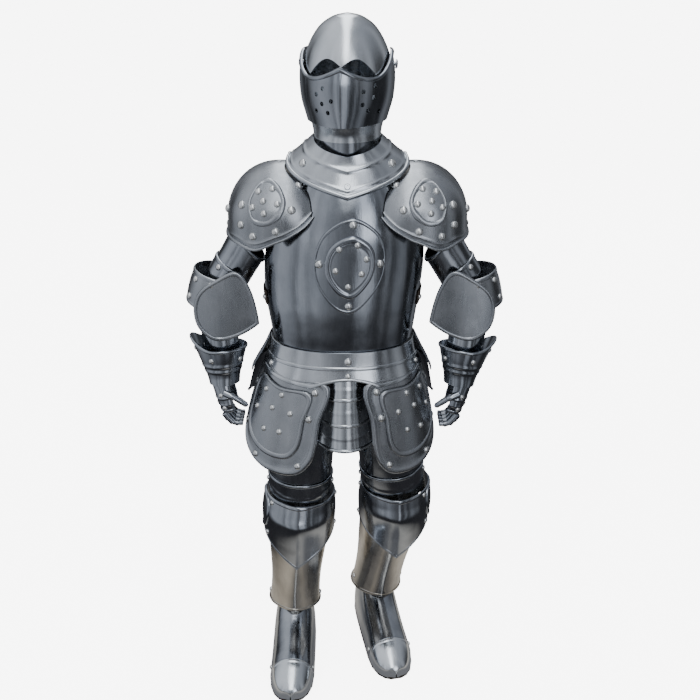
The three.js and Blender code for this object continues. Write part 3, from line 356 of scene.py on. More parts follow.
def plate(
    form, start, end, top, bottom, across=48, down=20, span=100.0, base=0.0, thick=PLATE, grow=0.0,
    closed=False, pole=False, bead_top=0.0, bead_bottom=0.0, relief=None,
):
    s = steps(down, span, bead_top > 0, bead_bottom > 0)
    u = np.arange(across) / across if closed else np.linspace(0, 1, across + 1)
    S, U = np.meshgrid(s, u, indexing="ij")
    angle = mix(value(start, S), value(end, S), U)
    along = mix(value(top, angle), value(bottom, angle), S)
    lift = relief(angle, along, S) if relief else 0.0
    rise = bead(S * span, bead_top) + bead((1 - S) * span, bead_bottom)
    outer = form.lift(angle, along, base + thick + grow + rise + lift)
    inner = form.lift(angle, along, np.zeros_like(S) + base - grow + lift)
    return shell(outer, inner, closed, pole)


def tube(form, top, bottom, **options):
    return plate(form, 0, 360, top, bottom, closed=True, **options)


print("a test plate has", len(tube(forearm, 100, 20, across=12, down=3)[0]), "points")

# %% [markdown]
# ## Plates with a free outline
# The boss, tassets, flower panels and elbow leaves have outlines of their own. Each is a polar grid that
# runs from a middle to a smooth closed curve through a few corners; a doubled corner makes a sharp point.

# %% Plates with a free outline
def outline(corners, count):
    P = np.array(corners, float)
    n = len(P)
    made = []
    for share in np.arange(count) / count * n:
        i = int(share)
        t = share - i
        a, b, c, d = (P[(i + k) % n] for k in (-1, 0, 1, 2))
        gaps = [max(float(np.sum((q - p) ** 2)) ** 0.25, 1e-4) for p, q in ((a, b), (b, c), (c, d))]
        t1 = (b - a) / gaps[0] - (c - a) / (gaps[0] + gaps[1]) + (c - b) / gaps[1]
        t2 = (c - b) / gaps[1] - (d - b) / (gaps[1] + gaps[2]) + (d - c) / gaps[2]
        t1, t2 = t1 * gaps[1], t2 * gaps[1]
        made.append(b + t1 * t + (3 * c - 3 * b - 2 * t1 - t2) * t**2 + (2 * b - 2 * c + t1 + t2) * t**3)
    return np.array(made)


def shield(
    form, middle, corners, spokes=72, rings=14, size=50.0, reach=1.0, base=0.0, thick=PLATE, grow=0.0,
    edge_bead=0.0, width=5.0, relief=None,
):
    edge = outline(corners, spokes)
    s = steps(rings, size, False, edge_bead > 0)
    S = np.repeat(s[:, None], spokes, 1)
    a = mix(middle[0], edge[None, :, 0], S * reach)
    b = mix(middle[1], edge[None, :, 1], S * reach)
    lift = relief(a, b, S) if relief else 0.0
    rise = bead((1 - S) * size, edge_bead, width)
    outer = form.lift(a, b, base + thick + grow + rise + lift)
    inner = form.lift(a, b, np.zeros_like(S) + base - grow + lift)
    return shell(outer, inner, closed=True, pole=True)


def board(y, bend):
    return Form(lambda x, z: (x, y + bend * x * x, z))


# %% [markdown]
# ## Moving, joining and turning
# Limbs are built upright and then moved to their joints. The right arm is the left one's mirror image.

# %% Moving and joining
def limb(a, b, twist=0.0):
    a, b = Vector(a), Vector(b)
    turn = Vector((0, 0, 1)).rotation_difference((b - a).normalized()).to_matrix().to_4x4()
    return Matrix.Translation(a) @ turn @ Matrix.Rotation(np.radians(twist), 4, "Z")


def moved(made, matrix):
    P, faces = made
    M = np.array(matrix)
    return facing_out(P @ M[:3, :3].T + M[:3, 3], faces)


def mirrored(made, side):
    P, faces = made
    return (P, faces) if side == "left" else facing_out(P * [-1, 1, 1], faces)


def joined(*solids):
    points, faces, count = [], [], 0
    for P, F in solids:
        points.append(P)
        faces += [[v + count for v in f] for f in F]
        count += len(P)
    return np.concatenate(points), faces


def turned(a, b, profile, sides=20):
    """A round piece along the line from a to b: rows of (distance from a, radius), with 0 at both ends."""
    line = limb(a, b)
    angles = np.arange(sides) / sides * 2 * np.pi
    points = [np.array([[0, 0, profile[0][0]]])]
    for distance, radius in profile[1:-1]:
        ring = np.stack([radius * np.cos(angles), radius * np.sin(angles), np.full(sides, distance)], -1)
        points.append(ring)
    points.append(np.array([[0, 0, profile[-1][0]]]))
    P = np.concatenate(points)
    rings = len(profile) - 2
    faces = []
    for i in range(sides):
        k = (i + 1) % sides
        faces.append([0, 1 + k, 1 + i])
        for j in range(rings - 1):
            r, q = 1 + j * sides, 1 + (j + 1) * sides
            faces.append([r + i, r + k, q + k, q + i])
        faces.append([1 + (rings - 1) * sides + i, 1 + (rings - 1) * sides + k, len(P) - 1])
    return moved(facing_out(P, faces), line)


def rod(a, b, radius, sides=16):
    length = (Vector(b) - Vector(a)).length
    return turned(a, b, [(0, 0), (0, radius), (length, radius), (length, 0)], sides)


# %% [markdown]
# ## Objects, cuts and smooth shading
# Points become a mesh in metres in the model's frame. Where one plate tucks against another it is cut with
# a Boolean by a slightly larger copy of its neighbour, just as the solids were, and the biggest part stays.

# %% Objects and cuts
def to_object(name, made):
    P, faces = made
    mesh = bpy.data.meshes.new(name)
    mesh.from_pydata(((P + MIDDLE) * 0.001).tolist(), [], faces)
    mesh.validate()
    obj = bpy.data.objects.new(name, mesh)
    bpy.context.scene.collection.objects.link(obj)
    return obj


def baked(obj):
    """The object with its modifiers turned into a plain mesh."""
    depsgraph = bpy.context.evaluated_depsgraph_get()
    mesh = bpy.data.meshes.new_from_object(obj.evaluated_get(depsgraph))
    obj.modifiers.clear()
    old = obj.data
    obj.data = mesh
    bpy.data.meshes.remove(old)
    mesh.name = obj.name


def keep_largest(obj):
    bm = bmesh.new()
    bm.from_mesh(obj.data)
    left = set(bm.verts)
    parts = []
    while left:
        seed = left.pop()
        part, queue = [seed], [seed]
        while queue:
            for link in queue.pop().link_edges:
                for v in link.verts:
                    if v in left:
                        left.remove(v)
                        part.append(v)
                        queue.append(v)
        parts.append(part)
    parts.sort(key=len)
    for part in parts[:-1]:
        bmesh.ops.delete(bm, geom=part, context="VERTS")
    bm.to_mesh(obj.data)
    bm.free()


def cut(obj, rooms):
    for room in rooms:
        tool = to_object("room", room)
        modifier = obj.modifiers.new("cut", "BOOLEAN")
        modifier.operation = "DIFFERENCE"
        modifier.solver = "MANIFOLD"
        modifier.object = tool
        baked(obj)
        bpy.data.meshes.remove(tool.data)
    keep_largest(obj)


def shaded(obj, angle=38, creased=None):
    mesh = obj.data
    mesh.shade_smooth()
    mesh.set_sharp_from_angle(angle=np.radians(angle))
    if creased:
        places = np.empty(len(mesh.vertices) * 3)
        mesh.vertices.foreach_get("co", places)
        on_crease = creased(places.reshape(-1, 3) * 1000 - MIDDLE)
        for edge in mesh.edges:
            if on_crease[edge.vertices[0]] and on_crease[edge.vertices[1]]:
                edge.use_edge_sharp = True


STEEL, SATIN, BRIGHT, LEATHER = "steel", "satin_steel", "bright_steel", "leather"
dressed = []


def dress(name, made, nodes, slot, ride="suit", rooms=(), creased=None):
    """One finished piece that stands for its solids."""
    obj = to_object(name, made)
    if rooms:
        cut(obj, rooms)
    shaded(obj, creased=creased)
    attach(obj, ride)
    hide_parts(*nodes)
    dressed.append((obj, slot))
    return obj


rivets = {}


def rivet(form, angle, along, height, radius=4.9, ride="suit", matrix=None, side="left"):
    foot = form.lift(angle, along, height)
    out = form.outward(angle, along)
    if matrix is not None:
        M = np.array(matrix)
        foot = M[:3, :3] @ foot + M[:3, 3]
        out = M[:3, :3] @ out
    flip = np.array([1 if side == "left" else -1, 1, 1])
    rivets.setdefault(ride, []).append((foot * flip, out * flip, radius * 1.04))


# %% [markdown]
# ## Helmet
# A skull beaten from one sheet, cut into two arches over the eyes, with a bevor closed round the chin and
# a neck band inside the collar. The skull runs to one point on top, so its grid has a pole there.

# %% Helmet
turn_head = Matrix.Rotation(np.radians(-HEAD_TURN), 4, "Z")


def brow(angle):
    a = np.abs(centred(angle))
    arch = 860 + 12 * np.sin(np.pi * np.clip(a, 0, 44) / 44) - 8 * (np.clip(a, 0, 44) / 44)
    side = mix(852.0, 772.0, smooth(a, 44, 60))
    return np.where(a < 44, arch, side)


skull = plate(
    head, -180, 180, 0, lambda angle: helmet_down(brow(angle)), across=160, down=56, span=120,
    base=-PLATE, closed=True, pole=True,
)
dress("helmet_skull_plate", moved(skull, turn_head), ["helmet_skull"], BRIGHT)
bevor = plate(
    head, lambda v: -mix(51, 57.5, v), lambda v: mix(51, 57.5, v), helmet_down(806), helmet_down(774),
    across=60, down=16, span=32, base=-PLATE,
)
dress("helmet_bevor_plate", moved(bevor, turn_head), ["helmet_bevor"], BRIGHT)
neck = tube(
    head, helmet_down(777), 1, across=72, down=10, span=30, base=-2 * PLATE - 2 * GAP,
)
dress("helmet_neck_band", moved(neck, turn_head), ["helmet_neck"], STEEL)

# %% [markdown]
# ## Visor
# Two cheeks meet in a keel. The top edge is rolled over a wire and dips over each eye, and twelve round
# breaths are punched through. The holes are cut with a Boolean, because they go through a curved sheet.

# %% Visor
BREATHS = [
    (-20, 838), (-29.5, 831), (-22, 821.5), (-9.5, 825.5), (-32, 813), (-14.5, 812.5),
    (41.5, 840), (26.5, 835), (40, 827.5), (26, 821), (33.5, 814), (51.5, 811),
]
VISOR_BASE = 2.4


def visor_top(angle):
    a = np.abs(angle)
    dip = 861 - 12 * np.sin(np.pi / 2 * np.clip(a, 0, 41) / 40)
    return helmet_down(np.where(a < 41, dip, mix(849.0, 872.0, smooth(a, 41, 92))))


visor = plate(
    visor_form, lambda v: -108 + 22 * v, lambda v: 108 - 22 * v, visor_top, helmet_down(796),
    across=144, down=30, span=62, base=VISOR_BASE, bead_top=2.2,
)


def drill(angle, z, radius):
    down = helmet_down(z)
    return rod(visor_form.lift(angle, down, -12), visor_form.lift(angle, down, 14), radius)


holes = [moved(drill(a, z, 2.6), turn_head) for a, z in BREATHS]
holes += [moved(drill(s * 97, 856, 3.6), turn_head) for s in (-1, 1)]


def on_keel(P):
    turn = np.radians(HEAD_TURN)
    return (np.abs(P[:, 0] * np.cos(turn) - P[:, 1] * np.sin(turn)) < 0.05) & (P[:, 1] < 0)


dress("visor_plate", moved(visor, turn_head), ["visor"], STEEL, "visor", holes, on_keel)

pivot = visor_form.at(97, helmet_down(856))
wall_x = head.lift(97, helmet_down(856), 0)[0]
out_x = visor_form.lift(97, helmet_down(856), VISOR_BASE + PLATE)[0] + 1
for side in SIDES:
    start = (wall_x - 0.2, pivot[1], pivot[2])
    end = (out_x + 3, pivot[1], pivot[2])
    reach = out_x - wall_x + 0.2
    knob = turned(
        start, end,
        [(0, 0), (0, 2.4), (reach, 2.4), (reach, 5.5), (reach + 1.4, 5.5), (reach + 2.6, 4), (reach + 3, 0)],
    )
    dress(f"visor_pivot_{side}_knob", moved(mirrored(knob, side), turn_head), [f"visor_pivot_{side}"], BRIGHT)

# %% [markdown]
# ## Gorget
# The collar comes to a point on the breast. It carries a wide rolled border and a second fine ridge where
# the standing neck begins. The ridges are part of the sheet, so they are drawn as relief on both faces.

# %% Gorget
def gorget_hem(angle):
    a = np.abs(centred(angle))
    front = 749 - 37 * (1 - np.clip(a, 0, 90) / 90) ** 1.15
    back = 749 - 25 * (np.clip(a - 90, 0, 90) / 90) ** 1.2
    return np.where(a < 90, front, back)


def gorget_top(angle):
    return 772.9 - 15 * np.maximum(0, 1 - np.abs(centred(angle)) / 75) ** 1.1


def gorget_relief(angle, along, s):
    ridge = 1.1 * np.exp(-(((s - 0.34) / 0.045) ** 2))
    groove = 0.7 * np.exp(-(((s - 0.8) / 0.03) ** 2))
    return ridge + groove


gorget = tube(
    collar, gorget_top, gorget_hem, across=200, down=44, span=42, base=0.6,
    bead_bottom=2.2, relief=gorget_relief,
)
for a in (46, -46):
    rivet(collar, a, mix(gorget_top(a), gorget_hem(a), 0.58), 0.6 + PLATE)
rivet(collar, 180, 732, 0.6 + PLATE, 3.2)
foot, tip = collar.lift(0, 726, 0.4), collar.lift(0, 726, 3.4)
EYELET = [(0, 0), (0, 3.6), (2.4, 3.6), (3.2, 2.9), (3.2, 1.7), (0.3, 1.6), (0.3, 0)]

# %% [markdown]
# ## Breast and back
# Two smooth plates over one form, open at the arms and joined under them by leather straps.

# %% Breast and back plates
CHEST_SEAM = table("z half", (490, 87), (630, 87), (655, 74), (690, 54), (742, 50))
CHEST_TOP, CHEST_BOTTOM = 738, 496


def chest_room(grow):
    """The upper chest as one thick band, grown outwards."""
    return tube(torso, CHEST_TOP, 617, across=80, down=20, span=121, base=-30, thick=30 + grow)


def chest(facing, down=64, across=110):
    half = lambda v: read(CHEST_SEAM, "z", "half", mix(CHEST_TOP, CHEST_BOTTOM, v))
    return plate(
        torso, lambda v: facing - half(v), lambda v: facing + half(v), CHEST_TOP, CHEST_BOTTOM,
        across=across, down=down, span=242, base=-PLATE,
    )


dress("gorget_plate", gorget, ["gorget"], STEEL, rooms=[chest_room(AIR)])
# the collar takes a lighter copy of the steel: a painted highlight
dressed[-1] = (dressed[-1][0], "belt")
dress("gorget_eyelet", turned(foot, tip, EYELET), ["gorget"], BRIGHT)
dress("breast_plate_front", chest(0), ["breastplate"], STEEL)
dress("back_plate_rear", chest(180), ["backplate"], STEEL)

BOSS_MIDDLE = (FRONT_TURN, 632)
BOSS_CORNERS = [(0, 690), (17, 674), (23, 640), (17, 602), (0, 571), (-17, 602), (-23, 640), (-17, 674)]


def faced(places):
    return [(angle + FRONT_TURN, z) for angle, z in places]


outer = shield(
    torso, BOSS_MIDDLE, faced(BOSS_CORNERS), spokes=96, rings=16, size=50, base=0.8, edge_bead=1.1, width=4,
)
inner = shield(
    torso, BOSS_MIDDLE, faced(BOSS_CORNERS), spokes=96, rings=16, size=33, reach=0.66,
    base=0.8 + PLATE + GAP, edge_bead=1.9, width=6.5, relief=lambda a, b, s: 1.4 * (1 - s**2),
)
dress("boss_outer_plate", outer, ["boss_plate"], STEEL)
dress("boss_inner_dome", inner, ["boss_dome"], STEEL)
for a, z in faced([(0, 683), (19, 636), (-19, 636), (0, 582)]):
    rivet(torso, a, z, 0.8 + PLATE)
for a, z in faced([(-7, 655), (3, 660), (9, 643), (6.5, 625), (-1, 609), (-8, 629)]):
    rivet(torso, a, z, 0.8 + 2 * PLATE + GAP + 0.5, 4)

for side in SIDES:
    middle = 90 if side == "left" else -90
    band = plate(
        torso, middle - 18, middle + 18, 582, 564, across=24, down=8, span=18, base=GAP, thick=1.8,
    )
    dress(f"side_strap_{side}_band", band, [f"side_strap_{side}"], LEATHER)
    for a in (-14, 14):
        rivet(torso, middle + a, 573, GAP + 1.8, 3.7)

# %% [markdown]
# ## Skirt
# A belt at the waist, a lame arched over the groin, two hanging tassets with riveted panels, three small
# lames between them and the flared culet behind. All of them are the same flared form at different lifts.

# %% Skirt
def fauld_hem(angle):
    a = np.abs(angle - FRONT_TURN)
    arch = 466 + 11 * np.cos(np.pi / 2 * np.clip(a, 0, 22) / 22)
    return np.where(a < 22, arch, mix(466.0, 477.0, (a - 22) / 70))


def fauld_lame(grow=0.0, across=96, down=12):
    return plate(
        skirt, -90, 90, 497, lambda a: fauld_hem(a) - grow, across=across, down=down, span=28,
        base=-PLATE - GAP, grow=grow, bead_bottom=0 if grow else 0.9,
    )


belt = plate(skirt, -90, 90, 513, 490, across=96, down=12, span=23, base=0.3, bead_bottom=0.9)
dress("fauld_belt_plate", belt, ["fauld_belt"], STEEL)
# the belt takes a lighter copy of the steel: a painted highlight
dressed[-1] = (dressed[-1][0], "belt")
groin_room = plate(groin, -50, 50, 484, 446, across=24, down=4, span=38, grow=AIR)
dress("fauld_lame_plate", fauld_lame(), ["fauld_lame"], STEEL, rooms=[groin_room])
# the fauld lame takes the same lighter steel: a painted highlight
dressed[-1] = (dressed[-1][0], "belt")
rivet(skirt, FRONT_TURN, 502, PLATE + 0.3)
rivet(skirt, FRONT_TURN, 483.5, -GAP, 3.9)
for a, z in faced([(70, 484), (-70, 484)]):
    rivet(skirt, a, z, -GAP, 3.9)

for i, (top, bottom, base) in enumerate(((484, 446, 0), (452, 410, -1.8), (416, 374, -3.6))):
    lame = plate(
        groin, -48, 48, top, bottom, across=64, down=18, span=top - bottom, base=base,
        bead_bottom=1.7 if i == 2 else 0.9,
        relief=lambda a, z, s, t=top: 0.8 * np.exp(-(((z - (t - 22)) / 1.6) ** 2)),
    )
    dress(f"groin_lame_{i + 1}_plate", lame, [f"groin_lame_{i + 1}"], BRIGHT)

TASSET_MIDDLE = (48, 425)
TASSET_CORNERS = [
    (13, 474), (46, 476), (86, 484), (92, 430), (84, 374), (52, 343), (28, 341), (18, 360), (14, 420),
]
TASSET_STUDS = [(19, 461), (21, 425), (25, 356), (60, 357), (84, 392), (86, 448)]
PANEL_STUDS = [(44, 452), (62, 452), (34, 430), (50, 432), (68, 424), (40, 402), (54, 400)]
TASSET_BASE = -2 * PLATE - 2 * GAP
TASSET_TOP = TASSET_BASE + PLATE
PANEL_TOP = TASSET_TOP + 3 * GAP + PLATE
roof = fauld_lame(AIR, 60, 6)
for side in SIDES:
    out = 1 if side == "left" else -1
    here = lambda places: faced([(a * out, z) for a, z in places])
    middle, corners = here([TASSET_MIDDLE])[0], here(TASSET_CORNERS)
    tasset = shield(
        skirt, middle, corners, spokes=110, rings=22, size=64, base=TASSET_BASE, edge_bead=2.3, width=6,
    )
    dress(f"tasset_{side}_plate", tasset, [f"tasset_{side}"], SATIN, rooms=[roof])
    panel = shield(
        skirt, middle, corners, spokes=110, rings=18, size=46, reach=0.72, base=PANEL_TOP - PLATE,
        edge_bead=1.8, width=5.5,
    )
    dress(f"tasset_panel_{side}_plate", panel, [f"tasset_panel_{side}"], SATIN, rooms=[roof])
    for a, z in here(TASSET_STUDS):
        rivet(skirt, a, z, TASSET_TOP)
    for a, z in here(PANEL_STUDS):
        rivet(skirt, a, z, PANEL_TOP, 4)

upper = plate(culet, 84, 276, 513, 462, across=96, down=18, span=51, bead_bottom=0.9)
dress("culet_upper_plate", upper, ["culet_upper"], STEEL)
lower = plate(
    culet, 96, 264, 470, lambda a: mix(396, 420, np.abs(a - 180) / 84), across=96, down=26, span=66,
    base=-PLATE - 3 * GAP, bead_bottom=1.7,
)
dress("culet_lower_plate", lower, ["culet_lower"], STEEL)
for a in (120, 180, 240):
    rivet(culet, a, 474, PLATE, 3.7)

# %% [markdown]
# ## Pauldrons
# A dome over the shoulder falls into a lobe on the breast and another on the back, with a broad rolled
# edge. It is cut where the collar and chest pass, and a raised oval panel carries a flower of six rivets.

# %% Pauldrons
PAULDRON = {"wide": 65, "front": 69, "back": 64, "high": 61, "lap": 78}
PAULDRON_HEM = table("turn down", (-90, 0.5), (-40, 0.86), (-14, 1.1), (18, 1.38), (45, 1.32), (90, 1.3))


def pauldron_place(angle, v):
    turn = np.radians(angle)
    lap = np.maximum(0, v - 1)
    inside = np.clip(v, -0.2, 1) * np.pi / 2
    r = np.sin(inside) + 0.04 * lap
    z = np.where(v < 1, PAULDRON["high"] * np.cos(inside), -PAULDRON["lap"] * lap)
    depth = np.where(np.cos(turn) > 0, PAULDRON["front"], PAULDRON["back"])
    return PAULDRON["wide"] * r * power(np.sin(turn), 0.8), -depth * r * power(np.cos(turn), 0.8), z


pauldron_form = Form(pauldron_place, 0.02)


def pauldron_hem(angle):
    turn = centred(angle)
    folded = np.where(np.abs(turn) > 90, np.sign(turn) * 180 - turn, turn)
    return read(PAULDRON_HEM, "turn", "down", folded)


PAULDRON_STUDS = [(-28, 0.49), (-11, 0.79), (1, 1.06), (22, 1.15), (38, 1.0), (40, 0.76), (76, 0.9)]
FLOWER = (12, 0.69)
PETALS = [(8, -0.11), (-8, -0.15), (-12, 0.03), (-2, 0.14), (11, 0.08)]
shoulder = Matrix.Translation((82, 0, 680))
collar_room = tube(
    collar, lambda a: gorget_top(a) + 1, lambda a: gorget_hem(a) - 1, across=80, down=6, span=44,
    base=-30, thick=31 + PLATE + 1.6,
)


def upper_cannon(side, grow=0.0, across=64, down=24):
    arm = ARMS[side]
    made = tube(
        upper_arm, lambda a: 91 + 11 * np.sin(np.radians(a)), 20, across=across, down=down, span=70,
        grow=grow, bead_top=0 if grow else BEAD,
    )
    return moved(made, limb(arm["elbow"], arm["shoulder"]))


dome = plate(
    pauldron_form, 0, 360, 0, pauldron_hem, across=150, down=46, span=120, closed=True, pole=True,
    bead_bottom=2.7, relief=lambda a, v, s: 1.1 * np.exp(-((((1 - s) * 120 - 10) / 1.8) ** 2)),
)
for side in SIDES:
    arm_room = mirrored(upper_cannon(side, AIR, 32, 4), side)
    rooms = [collar_room, chest_room(1.9), arm_room]
    placed = mirrored(moved(dome, shoulder), side)
    dress(f"pauldron_{side}_dome", placed, [f"pauldron_{side}"], SATIN, rooms=rooms)
    share = 2 * np.pi * np.arange(8) / 8
    corners = [(FLOWER[0] + 18 * np.sin(t), FLOWER[1] - 0.29 * np.cos(t)) for t in share]
    panel = shield(
        pauldron_form, FLOWER, corners, spokes=80, rings=14, size=22, base=PLATE + 2 * GAP, edge_bead=1.5,
        width=4.5,
    )
    name = f"pauldron_panel_{side}"
    dress(f"{name}_plate", mirrored(moved(panel, shoulder), side), [name], SATIN)
    for a, v in [*PAULDRON_STUDS, (92, 1.22)]:
        rivet(pauldron_form, a, v, PLATE, matrix=shoulder, side=side)
    places = [FLOWER, *[(FLOWER[0] + a, FLOWER[1] + v) for a, v in PETALS]]
    for a, v in places:
        rivet(pauldron_form, a, v, 2 * PLATE + 2 * GAP, 4, matrix=shoulder, side=side)

# %% [markdown]
# ## Arms
# Cannon, lame, elbow cop with its leaf-shaped wing, lame, lower cannon and a flared cuff. The forearm
# turns on two pins in the cop, so everything below the elbow rides on its own body.

# %% Arms
WING = [
    (-21, 54), (-42, 34), (-62, -9.3), (-62, -10.7), (-39, -34), (-12, -46), (12, -34), (23, -10), (21, 14),
    (4, 36),
]
for side in SIDES:
    arm = ARMS[side]
    elbow, wrist = Vector(arm["elbow"]), Vector(arm["wrist"])
    upper, lower = limb(arm["elbow"], arm["shoulder"]), limb(arm["wrist"], arm["elbow"])
    lean_up = np.arctan2(arm["elbow"][0] - arm["shoulder"][0], arm["shoulder"][2] - arm["elbow"][2])
    lean_down = np.arctan2(arm["elbow"][0] - arm["wrist"][0], arm["elbow"][2] - arm["wrist"][2])
    middle = Matrix.Translation(elbow) @ Matrix.Rotation((lean_down - lean_up) / 2, 4, "Y")
    put = lambda made, matrix: mirrored(moved(made, matrix), side)
    swing = f"forearm_{side}"
    dress(f"upper_cannon_{side}_tube", mirrored(upper_cannon(side), side), [f"upper_cannon_{side}"], STEEL)

    lame_base = PLATE + GAP
    upper_lame = lambda grow, n=48, m=16: plate(
        upper_arm, -22.5, 202.5, 54, 16, across=n, down=m, span=38, base=lame_base, grow=grow,
        bead_top=0 if grow else 0.8,
    )
    couter_room = plate(couter_form, -26, 202, 37, -12, across=40, down=6, span=49, grow=AIR)
    name = f"elbow_lame_upper_{side}"
    dress(f"{name}_plate", put(upper_lame(0), upper), [name], STEEL, rooms=[put(couter_room, middle)])
    for a in (40, 140):
        rivet(upper_arm, a, 46, lame_base + PLATE, 4, matrix=upper, side=side)

    cop = plate(couter_form, -26, 202, 36, -11, across=72, down=20, span=47, bead_top=0.8, bead_bottom=0.8)
    leaf = shield(
        board(-34.7, 0.0012), (-16, 2), WING, spokes=110, rings=22, size=42, edge_bead=1.7, width=5,
        relief=lambda a, b, s: 1.2 * (1 - s**2),
    )
    reach = couter_form.at(0, 0)[1] + 0.3
    pin_end = forearm.at(0, 130)[1] - lame_base - PLATE - 2 * AIR
    pins = [rod((0, reach * w, 0), (0, pin_end * w, 0), 3) for w in (1, -1)]
    name = f"couter_{side}"
    rooms = [put(upper_lame(AIR, 32, 4), upper)]
    dress(f"{name}_cop", put(cop, middle), [name], SATIN, rooms=rooms)
    dress(f"{name}_wing", put(joined(leaf, *pins), middle), [name], SATIN)
    for a, z in ((52, 26), (60, 0), (120, 12), (12, 28), (168, 28)):
        rivet(couter_form, a, z, PLATE, 4, matrix=middle, side=side)

    length = (elbow - wrist).length
    lower_lame = plate(
        forearm, -22.5, 202.5, length + 7, length - 30, across=48, down=16, span=37, base=lame_base,
        bead_bottom=0.8,
    )
    placed = put(lower_lame, lower)
    dress(f"elbow_lame_lower_{side}_plate", placed, [f"elbow_lame_lower_{side}"], STEEL, swing)
    vambrace = lambda grow, n=64, m=16: tube(
        forearm, length - 12, 14, across=n, down=m, span=95, grow=grow,
    )
    dress(f"lower_cannon_{side}_tube", put(vambrace(0), lower), [f"lower_cannon_{side}"], STEEL, swing)

    rise = lambda a: 54 + 18 * np.maximum(0, np.cos(np.radians(a - 90))) ** 3
    band = lambda a, z, s: 0.9 * np.exp(-(((z - 30) / 1.5) ** 2)) + 0.9 * np.exp(-(((z - 22) / 1.5) ** 2))
    cuff = tube(cuff_form, rise, 2, across=80, down=32, span=60, base=GAP, bead_top=1.3, relief=band)
    name = f"gauntlet_cuff_{side}"
    dress(f"{name}_plate", put(cuff, lower), [name], STEEL, swing, [put(vambrace(AIR, 40, 2), lower)])
    for a, z in ((90, 52), (-60, 38), (20, 40), (150, 42)):
        rivet(cuff_form, a, z, GAP + PLATE, 3.6, swing, lower, side)

    hand = Matrix.Translation(wrist) @ Matrix.Rotation(np.radians(arm["lean"]), 4, "Y")
    knuckle = lambda a, z, s: 0.7 * np.exp(-(((z + 14) / 1.3) ** 2)) + 0.7 * np.exp(-(((z + 24) / 1.3) ** 2))
    back = plate(hand_form, -30, 210, 5, -36, across=60, down=28, span=41, bead_bottom=0.8, relief=knuckle)
    cuff_room = tube(cuff_form, 54, 0, across=48, down=8, span=54, base=GAP, grow=AIR)
    name = f"gauntlet_hand_{side}"
    thumb = []
    for a, b, r in (((0, -19, -6), (-14, -24, -14), 5), ((-14, -24, -14), (-25, -24, -27), 4.4)):
        span = (Vector(b) - Vector(a)).length
        profile = [
            (-2, 0), (-1.4, r * 0.7), (0, r), (span * 0.5, r * 0.97), (span, r * 0.86),
            (span + 2.6, r * 0.4), (span + 3, 0),
        ]
        thumb.append(turned(a, b, profile))
    dress(f"{name}_back", put(back, hand), [name], STEEL, swing, [put(cuff_room, lower)])
    dress(f"{name}_thumb", put(joined(*thumb), hand), [name], STEEL, swing)
    for a, z in ((20, -9), (20, -28), (90, -26)):
        rivet(hand_form, a, z, PLATE, 3.4, swing, hand, side)

    scales = []
    for i in range(4):
        y = (i - 1.5) * 10
        line = [(8, -37.8), (5, -46), (1.5, -53), (-4.5, -56.5), (-10, -57.5)]
        for j in range(4):
            (x0, z0), (x1, z1) = line[j], line[j + 1]
            r = 5.6 - 0.45 * j
            a, b = (x0, y * (1 - 0.03 * j), z0), (x1, y * (1 - 0.03 * j), z1)
            span = (Vector(b) - Vector(a)).length
            profile = [
                (-1.5, 0), (-1.2, r * 0.75), (0, r * 0.98), (span * 0.6, r),
                (span + 0.6, r * 1.03), (span + 1.4, r * 0.8), (span + 1.5, 0),
            ]
            scales.append(turned(a, b, profile, 18))
    name = f"gauntlet_fingers_{side}"
    dress(f"{name}_scales", put(joined(*scales), hand), [name], STEEL, swing)

# %% [markdown]
# ## Legs
# Cuisse, knee lame, the poleyn with its side wing, a closed greave with a crest down the shin, and a
# rounded sabaton with a separate toe cap. The legs stand still, so they all ride with the suit.

# %% Legs
KNEE_WING = [(58, 26), (90, 34), (120, 18), (116, -14), (88, -26), (60, -12)]


def shoe_place(angle, y):
    turn = np.radians(np.clip(angle, -90, 90))
    inside = np.clip(y, SHOE["y"][0], SHOE["y"][-1])
    nose = np.clip((SHOE["y"][0] + 4 - y) / 4.8, 0, 1)
    closing = np.maximum(np.sqrt(1 - nose**2), 0.05) * np.clip(1 - (y - SHOE["y"][-1]) / 0.8, 0.05, 1)
    wide = read(SHOE, "y", "wide", inside) * closing
    high = read(SHOE, "y", "high", inside) * mix(1, closing, 0.5)
    c = np.maximum(np.cos(turn), 0)
    x = wide * power(np.sin(turn), 0.85) + 0.3 * (angle - np.clip(angle, -90, 90))
    return x, y, SOLE_THICK + GAP + high * c**0.85


shoe_form = Form(shoe_place)
TOE_LINE = -104


def shoe_plate(y0, y1, down, **options):
    options = {"across": 56, "down": down, "span": abs(y0 - y1), "base": -PLATE, **options}
    return plate(shoe_form, -89.9, 89.9, y0, y1, **options)


def lame_ridge(angle, along, _):
    arch = 46 - 7 * np.cos(np.radians(angle * 1.6))
    return 0.7 * np.exp(-(((along - arch) / 1.4) ** 2))


